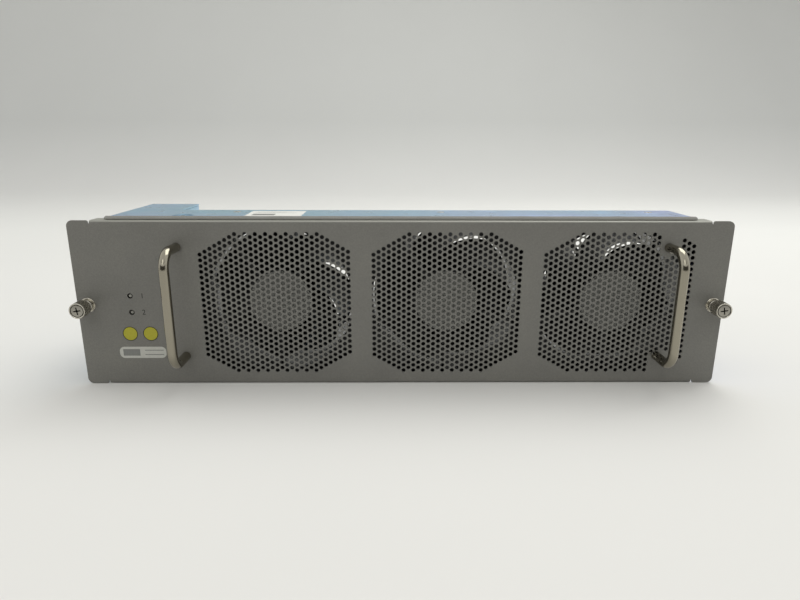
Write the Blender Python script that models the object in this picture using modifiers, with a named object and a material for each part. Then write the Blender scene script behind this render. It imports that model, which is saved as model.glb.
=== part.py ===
"""Fan tray for a rack switch: a painted front panel on a zinc-plated sheet metal tray with three fans.

Metres, +X to the right, +Y into the chassis, +Z up. The origin is under the middle of the whole tray,
on the surface that it stands on. Every size below is written once, in millimetres times MM.
"""

from math import cos, pi, radians, sin, sqrt, tan

import bmesh
import bpy
from mathutils import Matrix, Vector

MM = 0.001

# Clearances
SEAT_GAP = 0.3 * MM
HOLE_CLEARANCE = 0.3 * MM
CUT_MARGIN = 1.0 * MM

# Front panel
PANEL_WIDTH = 439.0 * MM
PANEL_HEIGHT = 114.3 * MM
PANEL_SHEET = 1.0 * MM
EAR_WIDTH = 15.0 * MM
PANEL_FOLD_WIDTH = PANEL_WIDTH - 2 * EAR_WIDTH
PANEL_FOLD_DEPTH = 12.0 * MM
PANEL_BEND_RADIUS = 1.8 * MM
EAR_CORNER_RADIUS = 4.0 * MM
NOTCH_WIDTH = 1.6 * MM
NOTCH_DEPTH = 2.4 * MM

# Perforated zones in the front panel, one in front of each fan
ZONE_SPACING = 14.0 * MM
ZONE_MARGIN = 15.5 * MM
ZONE_CORNER = 24.8 * MM
ZONE_RISE = 0.3 * MM
HOLE_PITCH = 15.65 * MM
HOLE_ACROSS_FLATS = 10.8 * MM
FOOT_PATCH_WIDTH = 13.5 * MM
FOOT_PATCH_HEIGHT = 14.0 * MM

# Tray body
BODY_STEP_IN = 0.2 * MM
BODY_WIDTH = PANEL_FOLD_WIDTH - 2 * BODY_STEP_IN
BODY_DEPTH = 63.0 * MM
BODY_SHEET = 1.0 * MM
BODY_STEP_BELOW_PANEL = 0.5 * MM
BODY_BEND_RADIUS = 1.5 * MM
BAY_WIDTH = 39.0 * MM
BAY_DEPTH = 103.5 * MM
JOGGLE_RUN = 2.0 * MM
COVER_SKIRT = 10.0 * MM
REAR_FLANGE = 15.0 * MM
COVER_SCREW_OFFSETS = (-35.8 * MM, -1.0 * MM, 37.8 * MM)
COVER_SCREW_INSET = 11.0 * MM

# Dished screw seat in the cover, over the partition
DISH_INSET = 12.9 * MM
DISH_SETBACK = 30.0 * MM
DISH_RADIUS = 7.5 * MM
DISH_FLOOR_RADIUS = 5.5 * MM
DISH_DEPTH = 2.0 * MM
PARTITION_SETBACK = 3.0 * MM
PARTITION_FLANGE = 18.0 * MM
LEAD_NOTCH_DEPTH = 13.0 * MM
LEAD_NOTCH_HEIGHT = 14.0 * MM

# Fans, as large as their share of the width and the height between floor and cover allow
FAN_COUNT = 3
FAN_ROW_ROOM = 24.0 * MM
FAN_END_ROOM = 1.5 * MM
FAN_SPACING = 7.2 * MM
FAN_HEADROOM = 6.3 * MM
FAN_PITCH = (BODY_WIDTH - BAY_WIDTH - FAN_ROW_ROOM) / FAN_COUNT
FAN_SIZE = min(FAN_PITCH - FAN_SPACING, PANEL_HEIGHT - FAN_HEADROOM)
FAN_FRONT_ROOM = 12.0 * MM
FAN_DEPTH = BODY_DEPTH - FAN_FRONT_ROOM
FAN_CORNER_RADIUS = 5.0 * MM
FAN_FLANGE = 4.0 * MM
FAN_RIM = 3.0 * MM
FAN_BORE_RADIUS = FAN_SIZE / 2 - FAN_RIM
FAN_TUNNEL_WALL = 2.0 * MM
FAN_SIDES = 32
FAN_SCREW_INSET = 6.0 * MM
FAN_SCREW_SPACING = FAN_SIZE - 2 * FAN_SCREW_INSET
FAN_SCREW_HOLE_RADIUS = 2.1 * MM
STRUT_COUNT = 5
STRUT_WIDTH = 2.6 * MM
STRUT_DEPTH = 5.0 * MM
MOTOR_RADIUS = 21.5 * MM
MOTOR_BASE_DEPTH = 6.0 * MM
MOTOR_FACE_RECESS = 0.8 * MM
BEARING_TUBE_RADIUS = 5.5 * MM
BEARING_TUBE_WALL = 1.2 * MM
BEARING_TUBE_INSET = 17.0 * MM
BEARING_TUBE_END = FAN_DEPTH - BEARING_TUBE_INSET
BEARING_WIDTH = 4.0 * MM
SHAFT_RADIUS = 2.0 * MM
STATOR_MARGIN = 5.0 * MM
STATOR_RADIUS = MOTOR_RADIUS - STATOR_MARGIN
STATOR_ENDS = 18.0 * MM
STATOR_LENGTH = BEARING_TUBE_END - STATOR_ENDS
STATOR_ARMS = 4
STATOR_ARM_WIDTH = 5.0 * MM
STATOR_SHOE_ANGLE = radians(62.0)

# Impeller
HUB_STEP = 0.5 * MM
HUB_RADIUS = MOTOR_RADIUS - HUB_STEP
HUB_WALL = 1.8 * MM
HUB_FRONT = 8.0 * MM
HUB_INSET = 6.0 * MM
HUB_REAR = FAN_DEPTH - HUB_INSET
HUB_EDGE_RADIUS = 3.0 * MM
HUB_BOSS_RADIUS = 4.5 * MM
BLADE_COUNT = 7
BLADE_SPAN_COUNT = 3
BLADE_CHORD_COUNT = 4
BLADE_TIP_GAP = 1.2 * MM
BLADE_TIP_RADIUS = FAN_BORE_RADIUS - BLADE_TIP_GAP
BLADE_FRONT = 17.0 * MM
BLADE_INSET = 8.0 * MM
BLADE_REAR = FAN_DEPTH - BLADE_INSET
BLADE_THICKNESS = 1.8 * MM
BLADE_ROOT_WRAP = 30.0 * MM
BLADE_TIP_WRAP = 40.4 * MM
BLADE_CAMBER = 0.1
BLADE_SWEEP = radians(15.3)
IMPELLER_TURNS = (radians(7.5), radians(48.9), radians(43.3))

# Bow handles, 3 in between their feet
HANDLE_LEFT_INSET = 16.0 * MM
HANDLE_RIGHT_INSET = 26.9 * MM
HANDLE_X = (BAY_WIDTH + HANDLE_LEFT_INSET - BODY_WIDTH / 2, BODY_WIDTH / 2 - HANDLE_RIGHT_INSET)
HANDLE_END_ROOM = 38.1 * MM
HANDLE_HOLE_SPACING = PANEL_HEIGHT - HANDLE_END_ROOM
HANDLE_LOWER_HOLE_Z = 20.5 * MM
HANDLE_STANDOFF = 26.0 * MM
HANDLE_BAR_DIAMETER = 6.0 * MM
HANDLE_BEND_RADIUS = 11.0 * MM
HANDLE_THREAD_DEPTH = 8.0 * MM
HANDLE_SCREW_RADIUS = 1.9 * MM
HANDLE_SCREW_HEAD_RADIUS = 3.5 * MM
HANDLE_SCREW_HEAD_HEIGHT = 2.4 * MM

# Captive screws, sprung out
CAPTIVE_INSET = 7.3 * MM
CAPTIVE_X = PANEL_WIDTH / 2 - CAPTIVE_INSET
CAPTIVE_TRAVEL = 5.0 * MM
KNOB_RADIUS = 5.4 * MM
KNOB_LENGTH = 10.7 * MM
KNOB_STOP = 1.3 * MM
KNOB_POCKET_RADIUS = 4.2 * MM
KNOB_POCKET_DEPTH = 2.7 * MM
KNOB_WEB = 1.1 * MM
KNOB_CAVITY_RADIUS = 4.5 * MM
STEM_RADIUS = 2.0 * MM
STEM_HEAD_HEIGHT = 2.0 * MM
STEM_TIP = 0.6 * MM
STEM_POINT = 0.8 * MM
FERRULE_RADIUS = 4.1 * MM
FERRULE_FRONT = 4.0 * MM
FERRULE_SHY = 0.2 * MM
FERRULE_LIP = 0.7 * MM
FERRULE_LIP_RADIUS = 5.0 * MM
CROSS_WIDTH = 1.2 * MM
CROSS_LENGTH = 4.6 * MM
CROSS_DEPTH = 1.2 * MM
THRUST_WASHER_RADIUS = 4.1 * MM
THRUST_WASHER_THICKNESS = 0.5 * MM
SPRING_WIRE = 0.5 * MM
SPRING_RADIUS = 3.4 * MM
SPRING_TURNS = 4
SPRING_SIDES = 10

# Gasket strip on the folded edge
GASKET_END_INSET = 9.0 * MM
GASKET_LENGTH = PANEL_FOLD_WIDTH - 2 * GASKET_END_INSET
GASKET_SETBACK = 2.6 * MM
GASKET_WIDTH = 6.0 * MM
GASKET_HEIGHT = 2.0 * MM

# Status lamps
LAMP_INSET = 20.7 * MM
LAMP_X = LAMP_INSET - BODY_WIDTH / 2
LAMP_RISE = 6.15 * MM
LAMP_DROP = 5.35 * MM
LAMP_Z = (PANEL_HEIGHT / 2 + LAMP_RISE, PANEL_HEIGHT / 2 - LAMP_DROP)
LAMP_RADIUS = 1.6 * MM
LAMP_RECESS = 0.3 * MM
LAMP_BLOCK_SETBACK = 14.0 * MM
LAMP_BLOCK_DEPTH = 6.0 * MM
LAMP_BLOCK_MARGIN = 3.2 * MM

# Electronics in the bay
BOARD_THICKNESS = 1.6 * MM
BOARD_STANDOFF = 8.4 * MM
BOARD_SETBACK = 13.0 * MM
BOARD_REAR_ROOM = 7.5 * MM
BOARD_DEPTH = BAY_DEPTH - BOARD_SETBACK - BOARD_REAR_ROOM
BOARD_BOTTOM = 14.0 * MM
BOARD_HEADROOM = 18.3 * MM
BOARD_HEIGHT = PANEL_HEIGHT - BOARD_HEADROOM - BOARD_BOTTOM
STANDOFF_RADIUS = 2.6 * MM
STANDOFF_INSET = 5.0 * MM
CONNECTOR_WIDTH = 14.0 * MM
CONNECTOR_HEIGHT = 46.0 * MM
CONNECTOR_LENGTH = 14.0 * MM
CONNECTOR_PROUD = 6.0 * MM
CONNECTOR_RISE = 0.85 * MM
CONNECTOR_CENTRE_Z = PANEL_HEIGHT / 2 + CONNECTOR_RISE
CONNECTOR_WALL = 2.2 * MM
CONNECTOR_POCKET = 8.0 * MM
CONNECTOR_SLOT_CLEARANCE = 1.0 * MM
HEADER_WIDTH = 7.0 * MM
HEADER_HEIGHT = 9.0 * MM
HEADER_LENGTH = 36.0 * MM
HEADER_SETBACK = 26.0 * MM
HEADER_RISE = 10.0 * MM
LOCATING_HOLE_RADIUS = 1.8 * MM
LOCATING_HOLE_INSET = 6.5 * MM
LOCATING_HOLE_DROP = 4.5 * MM

# Cover screws
COVER_SCREW_RADIUS = 1.5 * MM
COVER_SCREW_HEAD_RADIUS = 2.9 * MM
COVER_SCREW_LENGTH = 3.0 * MM
DISH_SCREW_HEAD_HEIGHT = 1.6 * MM
DISH_SCREW_LENGTH = 7.0 * MM

# Fan leads
LEAD_RADIUS = 1.4 * MM
LEAD_SPACING = 3.1 * MM
LEAD_FLOOR_CLEARANCE = 0.6 * MM
LEAD_EXIT_INSET = 8.0 * MM
LEAD_EXIT_RUN = 2.0 * MM
LEAD_TURN_RUN = 3.5 * MM
LEAD_PARTITION_CLEARANCE = 4.0 * MM
LEAD_BAY_RUN = 14.0 * MM
LEAD_BAY_RISE = 1.0 * MM
LEAD_PLUG_RUN = 12.0 * MM
LEAD_PLUG_END = 4.0 * MM
LEAD_PLUG_RISE = 2.0 * MM

# Derived places. Setbacks are measured from the front face of the panel.
REACH_FRONT = HANDLE_STANDOFF + HANDLE_BAR_DIAMETER / 2
REACH_BACK = BAY_DEPTH + CONNECTOR_PROUD
FRONT = (REACH_FRONT - REACH_BACK) / 2
MIDDLE_Z = PANEL_HEIGHT / 2
BODY_FRONT = FRONT + PANEL_SHEET + SEAT_GAP
BODY_REAR = FRONT + BODY_DEPTH
BAY_REAR = FRONT + BAY_DEPTH
BAY_X = -BODY_WIDTH / 2 + BAY_WIDTH
COVER_TOP = PANEL_HEIGHT - BODY_STEP_BELOW_PANEL
COVER_UNDER = COVER_TOP - BODY_SHEET
COVER_LIP_TOP = PANEL_HEIGHT - PANEL_SHEET - SEAT_GAP
BASE_BOTTOM = 0.0
BASE_FLOOR = BASE_BOTTOM + BODY_SHEET
BASE_LIP_BOTTOM = PANEL_SHEET + SEAT_GAP
LIP_END = FRONT + PANEL_FOLD_DEPTH + SEAT_GAP
WALL_OUTER_X = BODY_WIDTH / 2 - BODY_SHEET - SEAT_GAP
WALL_INNER_X = WALL_OUTER_X - BODY_SHEET
WALL_TOP = COVER_LIP_TOP - BODY_SHEET - SEAT_GAP
INNER_FLOOR = BASE_FLOOR + SEAT_GAP
INNER_ROOF = COVER_UNDER - SEAT_GAP
REAR_PLATE_FRONT = BODY_REAR - BODY_SHEET
FAN_REAR = REAR_PLATE_FRONT - SEAT_GAP
FAN_FRONT = FAN_REAR - FAN_DEPTH
LAST_FAN_X = BODY_WIDTH / 2 - FAN_END_ROOM - FAN_PITCH / 2
FAN_X = [LAST_FAN_X - (FAN_COUNT - 1 - number) * FAN_PITCH for number in range(FAN_COUNT)]
ZONE_WIDTH = FAN_PITCH - ZONE_SPACING
ZONE_HEIGHT = PANEL_HEIGHT - ZONE_MARGIN
ZONE_STRAIGHT_SIDE = ZONE_HEIGHT - ZONE_CORNER
COVER_SCREW_X = [fan_x + offset for fan_x, offset in zip(FAN_X, COVER_SCREW_OFFSETS)]
PARTITION_X = FAN_X[0] - FAN_SIZE / 2 - 1.5 * BODY_SHEET
DISH_X = PARTITION_X - DISH_INSET
DISH_Y = FRONT + DISH_SETBACK
DISH_FLOOR_Z = COVER_TOP - DISH_DEPTH
PARTITION_TOP = DISH_FLOOR_Z - BODY_SHEET - SEAT_GAP
BOARD_X = -WALL_INNER_X + BOARD_STANDOFF
BOARD_FACE_X = BOARD_X + BOARD_THICKNESS
BOARD_FRONT = FRONT + BOARD_SETBACK
BOARD_REAR = BOARD_FRONT + BOARD_DEPTH
HANDLE_HOLES_Z = (HANDLE_LOWER_HOLE_Z, HANDLE_LOWER_HOLE_Z + HANDLE_HOLE_SPACING)
KNOB_FRONT = KNOB_STOP + CAPTIVE_TRAVEL + KNOB_LENGTH
SIDE_RUN_ON = BODY_FRONT - LIP_END - JOGGLE_RUN

# Local x, y and z of a flat outline, as world axes, for each plane that it can lie in
PLANES = {
    "XY": Matrix(((1, 0, 0), (0, 1, 0), (0, 0, 1))).to_4x4(),
    "XZ": Matrix(((1, 0, 0), (0, 0, -1), (0, 1, 0))).to_4x4(),
    "YZ": Matrix(((0, 0, 1), (1, 0, 0), (0, 1, 0))).to_4x4(),
}
ALONG_Y = Matrix.Rotation(-pi / 2, 4, "X")
UPRIGHT = Matrix.Identity(4)
CORNERS = ((-1, -1), (-1, 1), (1, -1), (1, 1))


def clear_scene():
    for old in list(bpy.data.objects):
        bpy.data.objects.remove(old, do_unlink=True)


def new_collection(name, hidden):
    collection = bpy.data.collections.new(name)
    bpy.context.scene.collection.children.link(collection)
    collection.hide_render = hidden
    return collection


def paint(name, red, green, blue, roughness, metallic):
    material = bpy.data.materials.new(name)
    material.use_nodes = True
    shader = material.node_tree.nodes["Principled BSDF"]
    shader.inputs["Base Color"].default_value = (red, green, blue, 1.0)
    shader.inputs["Roughness"].default_value = roughness
    shader.inputs["Metallic"].default_value = metallic
    return material


clear_scene()
PARTS = new_collection("fan_tray", False)
CUTTERS = new_collection("cutters", True)

GREY_PAINT = paint("grey_paint", 0.140, 0.138, 0.120, 0.45, 0.0)
ZINC_PLATE = paint("zinc_plate", 0.33, 0.45, 0.55, 0.30, 1.0)
CHROME = paint("chrome", 0.80, 0.80, 0.78, 0.10, 1.0)
NICKEL = paint("nickel", 0.62, 0.60, 0.54, 0.25, 1.0)
SPRING_STEEL = paint("spring_steel", 0.50, 0.50, 0.50, 0.30, 1.0)
BLACK_PLASTIC = paint("black_plastic", 0.012, 0.012, 0.013, 0.25, 0.0)
MOTOR_STEEL = paint("motor_steel", 0.35, 0.33, 0.30, 0.45, 1.0)
GASKET_CLOTH = paint("gasket_cloth", 0.22, 0.21, 0.20, 0.70, 0.2)
BOARD_GREEN = paint("board_green", 0.02, 0.12, 0.05, 0.40, 0.0)
CLEAR_LENS = paint("clear_lens", 0.60, 0.60, 0.58, 0.15, 0.0)
CONNECTOR_PLASTIC = paint("connector_plastic", 0.05, 0.05, 0.055, 0.45, 0.0)
LEAD_SLEEVE = paint("lead_sleeve", 0.02, 0.02, 0.02, 0.55, 0.0)


def add_object(name, data, collection, material=None):
    thing = bpy.data.objects.new(name, data)
    collection.objects.link(thing)
    if material is not None:
        data.materials.clear()
        data.materials.append(material)
    if collection is CUTTERS:
        thing.hide_render = True
        thing.display_type = "WIRE"
    return thing


def mesh_from(bm, name):
    mesh = bpy.data.meshes.new(name)
    bm.to_mesh(mesh)
    bm.free()
    return mesh


def finished_mesh(thing, name):
    """The evaluated mesh of an object, with its loose caps welded."""
    bpy.context.view_layer.update()
    evaluated = thing.evaluated_get(bpy.context.evaluated_depsgraph_get())
    mesh = bpy.data.meshes.new_from_object(evaluated)
    mesh.name = name
    bm = bmesh.new()
    bm.from_mesh(mesh)
    bmesh.ops.remove_doubles(bm, verts=bm.verts, dist=0.00001)
    bmesh.ops.recalc_face_normals(bm, faces=bm.faces)
    bm.to_mesh(mesh)
    bm.free()
    return mesh


def smooth(thing, angle=35.0):
    thing.data.shade_smooth()
    thing.data.set_sharp_from_angle(angle=radians(angle))


def block(name, low, high, collection=PARTS, material=None):
    """A box between two corners, with its origin at its middle."""
    size = Vector(high) - Vector(low)
    bm = bmesh.new()
    bmesh.ops.create_cube(bm, size=1.0)
    bmesh.ops.scale(bm, vec=size, verts=bm.verts)
    thing = add_object(name, mesh_from(bm, name), collection, material)
    thing.location = (Vector(low) + Vector(high)) / 2
    return thing


def rod(name, radius, start, length, turn=ALONG_Y, sides=12, end_radius=None, collection=CUTTERS, material=None):
    """A cylinder or cone from its start point along +Y, or along +Z with turn=UPRIGHT."""
    bm = bmesh.new()
    far_radius = radius if end_radius is None else end_radius
    bmesh.ops.create_cone(bm, cap_ends=True, segments=sides, radius1=radius, radius2=far_radius, depth=length)
    bmesh.ops.translate(bm, verts=bm.verts, vec=(0, 0, length / 2))
    thing = add_object(name, mesh_from(bm, name), collection, material)
    thing.matrix_world = Matrix.Translation(Vector(start)) @ turn
    return thing


def turned(name, profile, place, turn=ALONG_Y, sides=24, collection=PARTS, material=None):
    """A turned piece. The profile is a closed list of (radius, distance along the axis)."""
    bm = bmesh.new()
    ring = [bm.verts.new((radius, 0, along)) for radius, along in profile]
    on_axis = profile[0][0] == 0 and profile[-1][0] == 0
    for first, second in zip(ring, ring[1:] if on_axis else ring[1:] + ring[:1]):
        bm.edges.new((first, second))
    thing = add_object(name, mesh_from(bm, name), collection, material)
    screw = thing.modifiers.new("turn", "SCREW")
    screw.axis = "Z"
    screw.angle = 2 * pi
    screw.steps = sides
    screw.render_steps = sides
    screw.use_merge_vertices = True
    screw.merge_threshold = 0.00001
    screw.use_normal_calculate = True
    mesh = finished_mesh(thing, name)
    thing.modifiers.clear()
    thing.data = mesh
    mesh.materials.clear()
    if material is not None:
        mesh.materials.append(material)
    thing.matrix_world = Matrix.Translation(Vector(place)) @ turn
    return thing


def circle(centre, radius, sides):
    return [(centre[0] + radius * cos(2 * pi * k / sides), centre[1] + radius * sin(2 * pi * k / sides))
            for k in range(sides)]


def rounded_box(width, height, radius, steps=3):
    """The outline of a rectangle about (0, 0) with round corners."""
    points = []
    for quarter, (side_x, side_y) in enumerate(((1, 1), (-1, 1), (-1, -1), (1, -1))):
        for step in range(steps + 1):
            angle = pi / 2 * (quarter + step / steps)
            points.append((side_x * (width / 2 - radius) + radius * cos(angle),
                           side_y * (height / 2 - radius) + radius * sin(angle)))
    return points


def plate(name, outlines, plane, place, thickness, collection=PARTS, material=None):
    """A flat piece from a filled outline, with further outlines as its holes, made a mesh."""
    curve = bpy.data.curves.new(name, "CURVE")
    curve.dimensions = "2D"
    curve.fill_mode = "BOTH"
    curve.extrude = thickness / 2
    for outline in outlines:
        spline = curve.splines.new("POLY")
        spline.points.add(len(outline) - 1)
        for point, (x, y) in zip(spline.points, outline):
            point.co = (x, y, 0, 1)
        spline.use_cyclic_u = True
    flat = bpy.data.objects.new(name, curve)
    CUTTERS.objects.link(flat)
    flat.matrix_world = Matrix.Translation(Vector(place)) @ PLANES[plane]
    mesh = finished_mesh(flat, name)
    thing = add_object(name, mesh, collection, material)
    thing.matrix_world = flat.matrix_world.copy()
    bpy.data.objects.remove(flat, do_unlink=True)
    bpy.data.curves.remove(curve)
    thing.name = name
    return thing


def wire(name, points, radius, resolution, place, material):
    """A round bar or lead along a poly line, made a closed mesh with its ends filled."""
    curve = bpy.data.curves.new(name, "CURVE")
    curve.dimensions = "3D"
    curve.bevel_depth = radius
    curve.bevel_resolution = resolution
    curve.use_fill_caps = True
    spline = curve.splines.new("POLY")
    spline.points.add(len(points) - 1)
    for point, corner in zip(spline.points, points):
        point.co = (*corner, 1)
    line = add_object(name, curve, CUTTERS)
    mesh = finished_mesh(line, name)
    bpy.data.objects.remove(line, do_unlink=True)
    bpy.data.curves.remove(curve)
    solid = add_object(name, mesh, PARTS, material)
    solid.location = place
    smooth(solid)
    return solid


def boolean(target, tool, operation):
    change = target.modifiers.new(tool.name, "BOOLEAN")
    change.operation = operation
    change.solver = "EXACT"
    change.object = tool
    return change


def cut(target, *tools):
    for tool in tools:
        boolean(target, tool, "DIFFERENCE")


def unite(target, *tools):
    for tool in tools:
        boolean(target, tool, "UNION")


def gang(name, tools):
    """Joins cutters that stand clear of each other, so that one cut makes all their holes."""
    bm = bmesh.new()
    for tool in tools:
        mesh = tool.data.copy()
        mesh.transform(tool.matrix_basis)
        bm.from_mesh(mesh)
        bpy.data.objects.remove(tool, do_unlink=True)
    return add_object(name, mesh_from(bm, name), CUTTERS)


def flat_face(bm, points):
    """One flat sheet face. Its edges come back in the order of the points."""
    verts = [bm.verts.new(point) for point in points]
    bm.faces.new(verts)
    return [bm.edges.get((first, second)) for first, second in zip(verts, verts[1:] + verts[:1])]


def fold(bm, edge, centre, axis, angle=pi / 2, steps=4):
    """Turns a sheet's edge about a bend line and gives back the edge where the bend ends."""
    swept = bmesh.ops.spin(bm, geom=[edge, *edge.verts], cent=centre, axis=axis, angle=angle, steps=steps)
    return next(item for item in swept["geom_last"] if isinstance(item, bmesh.types.BMEdge))


def run_on(bm, edge, step):
    """Carries a sheet on from an edge, straight along a step."""
    grown = bmesh.ops.extrude_edge_only(bm, edges=[edge])["geom"]
    verts = [item for item in grown if isinstance(item, bmesh.types.BMVert)]
    bmesh.ops.translate(bm, verts=verts, vec=step)
    return next(item for item in grown if isinstance(item, bmesh.types.BMEdge) and set(item.verts) == set(verts))


def front_edge(bm, lower, upper):
    """The edge between the front ends of a wall's lower and upper edges."""
    return bm.edges.get([min(edge.verts, key=lambda vert: vert.co.y) for edge in (lower, upper)])


def sheet(name, bm, outward, thickness, material):
    """A bent sheet from its outer surface, thickened inwards. The first face looks outward."""
    bmesh.ops.recalc_face_normals(bm, faces=bm.faces)
    bm.faces.ensure_lookup_table()
    if bm.faces[0].normal.dot(Vector(outward)) < 0:
        bmesh.ops.reverse_faces(bm, faces=bm.faces)
    thing = add_object(name, mesh_from(bm, name), PARTS, material)
    solid = thing.modifiers.new("sheet", "SOLIDIFY")
    solid.thickness = thickness
    solid.offset = -1
    solid.use_even_offset = True
    return thing


# Front panel: one sheet, folded back along its top and bottom between the two flat ears

def panel_outline():
    """The flat face up to the bend lines, with the ears' round corners and the relief notches."""
    half = PANEL_WIDTH / 2
    fold_half = PANEL_FOLD_WIDTH / 2
    corner = []
    for step in range(5):
        angle = pi / 2 * step / 4
        corner.append((half - EAR_CORNER_RADIUS * (1 - sin(angle)),
                       PANEL_HEIGHT - EAR_CORNER_RADIUS * (1 - cos(angle))))
    quarter = [(fold_half, PANEL_HEIGHT - PANEL_BEND_RADIUS),
               (fold_half, PANEL_HEIGHT - NOTCH_DEPTH),
               (fold_half + NOTCH_WIDTH, PANEL_HEIGHT - NOTCH_DEPTH),
               (fold_half + NOTCH_WIDTH, PANEL_HEIGHT)] + corner
    right = quarter + [(x, PANEL_HEIGHT - z) for x, z in reversed(quarter)]
    left = [(-x, PANEL_HEIGHT - z) for x, z in right]
    return right + left


def in_zone(across, up, margin):
    """Whether a hole of the given outer radius at (across, up) from a zone's middle lies in the zone."""
    slope = tan(radians(30))
    half_width = ZONE_WIDTH / 2 - margin
    half_height = ZONE_HEIGHT / 2 - margin
    corner = ZONE_STRAIGHT_SIDE / 2 + (ZONE_WIDTH / 2 - abs(across)) * slope - margin / cos(radians(30))
    slack = 0.5 * MM
    return abs(across) < half_width + slack and abs(up) < min(half_height, corner) + slack


def hole_places(fan_x):
    """Centres of a zone's holes: upright columns, every second one half a pitch lower."""
    column_step = HOLE_PITCH * sqrt(3) / 2
    columns = int(ZONE_WIDTH / column_step)
    rows = int(ZONE_HEIGHT / HOLE_PITCH) + 1
    radius = HOLE_ACROSS_FLATS / 2
    for column in range(columns + 1):
        across = (column - (columns - 1) / 2) * column_step
        for row in range(-rows, rows + 1):
            up = (row + (0.25 if column % 2 else -0.25)) * HOLE_PITCH
            if not in_zone(across, up, radius):
                continue
            x = fan_x + across
            z = MIDDLE_Z + ZONE_RISE + up
            beside_foot = any(abs(x - foot_x) < FOOT_PATCH_WIDTH / 2 + radius / 2 for foot_x in HANDLE_X)
            level_with_foot = any(abs(z - foot_z) < FOOT_PATCH_HEIGHT / 2 for foot_z in HANDLE_HOLES_Z)
            outside_foot = z > HANDLE_HOLES_Z[1] or z < HANDLE_HOLES_Z[0]
            if beside_foot and (level_with_foot or outside_foot):
                continue
            yield x, z


def perforation_cutter():
    """All the hexagonal punches in one mesh."""
    bm = bmesh.new()
    across_corners = HOLE_ACROSS_FLATS / sqrt(3)
    for fan_x in FAN_X:
        for x, z in hole_places(fan_x):
            place = Matrix.Translation((x, FRONT + PANEL_SHEET / 2, z)) @ ALONG_Y
            bmesh.ops.create_cone(bm, cap_ends=True, segments=6, radius1=across_corners, radius2=across_corners,
                                  depth=PANEL_SHEET + 2 * CUT_MARGIN, matrix=place @ Matrix.Rotation(pi / 6, 4, "Z"))
    return add_object("perforation_cutter", mesh_from(bm, "perforation_cutter"), CUTTERS)


def make_front_panel():
    bm = bmesh.new()
    edges = flat_face(bm, [(x, FRONT, z) for x, z in panel_outline()])
    top = next(edge for edge in edges if all(vert.co.z == edges[-1].verts[0].co.z for vert in edge.verts)
               and edge.calc_length() > PANEL_FOLD_WIDTH * 0.9 and edge.verts[0].co.z > MIDDLE_Z)
    bottom = next(edge for edge in edges if edge.calc_length() > PANEL_FOLD_WIDTH * 0.9
                  and edge.verts[0].co.z < MIDDLE_Z)
    centre_y = FRONT + PANEL_BEND_RADIUS
    flange = (0, PANEL_FOLD_DEPTH - PANEL_BEND_RADIUS, 0)
    top = fold(bm, top, (0, centre_y, PANEL_HEIGHT - PANEL_BEND_RADIUS), (-1, 0, 0))
    run_on(bm, top, flange)
    bottom = fold(bm, bottom, (0, centre_y, PANEL_BEND_RADIUS), (1, 0, 0))
    run_on(bm, bottom, flange)
    panel = sheet("front_panel", bm, (0, -1, 0), PANEL_SHEET, GREY_PAINT)
    start = FRONT - CUT_MARGIN
    length = PANEL_SHEET + 2 * CUT_MARGIN
    punches = [perforation_cutter()]
    for side in (-1, 1):
        punches.append(rod("ferrule_hole", FERRULE_RADIUS + HOLE_CLEARANCE, (side * CAPTIVE_X, start, MIDDLE_Z),
                           length, sides=20))
    for x in HANDLE_X:
        for z in HANDLE_HOLES_Z:
            punches.append(rod("handle_hole", HANDLE_SCREW_RADIUS + HOLE_CLEARANCE, (x, start, z), length))
    for z in LAMP_Z:
        punches.append(rod("lamp_hole", LAMP_RADIUS + HOLE_CLEARANCE, (LAMP_X, start, z), length, sides=16))
    cut(panel, gang("panel_punches", punches))


# Gasket strip: a D section with blunt ends

def make_gasket():
    half = GASKET_WIDTH / 2
    points = [(half, 0), (half, GASKET_HEIGHT * 0.4)]
    for step in range(1, 6):
        angle = pi * step / 6
        points.append((half * cos(angle), GASKET_HEIGHT * (0.4 + 0.6 * sin(angle))))
    points += [(-half, GASKET_HEIGHT * 0.4), (-half, 0)]
    place = (0, FRONT + GASKET_SETBACK + half, PANEL_HEIGHT + SEAT_GAP)
    plate("gasket_strip", [points], "YZ", place, GASKET_LENGTH, material=GASKET_CLOTH)


# Tray base: floor, joggled front lip and two side walls

def tray_outline(half_width, front):
    """Plan of the floor and of the cover: the wide tray with the narrow bay behind its left end."""
    return [(-half_width, front), (half_width, front), (half_width, BODY_REAR),
            (BAY_X, BODY_REAR), (BAY_X, BAY_REAR), (-half_width, BAY_REAR)]


def make_tray_base():
    bm = bmesh.new()
    inner_half = WALL_OUTER_X - BODY_BEND_RADIUS
    outline = tray_outline(inner_half, LIP_END + JOGGLE_RUN)
    edges = flat_face(bm, [(x, y, BASE_BOTTOM) for x, y in outline])
    lip = run_on(bm, edges[0], (0, -JOGGLE_RUN, BASE_LIP_BOTTOM - BASE_BOTTOM))
    run_on(bm, lip, (0, BODY_FRONT - LIP_END, 0))
    rise = (0, 0, WALL_TOP - BASE_BOTTOM - BODY_BEND_RADIUS)
    centre_z = BASE_BOTTOM + BODY_BEND_RADIUS
    for edge, middle_x, axis in ((edges[1], inner_half, (0, -1, 0)), (edges[5], -inner_half, (0, 1, 0))):
        foot = fold(bm, edge, (middle_x, 0, centre_z), axis)
        run_on(bm, front_edge(bm, foot, run_on(bm, foot, rise)), (0, SIDE_RUN_ON, 0))
    sheet("tray_base", bm, (0, 0, -1), BODY_SHEET, ZINC_PLATE)


# Top cover: joggled front lip, side skirts, dished screw seat and countersunk holes

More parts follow.
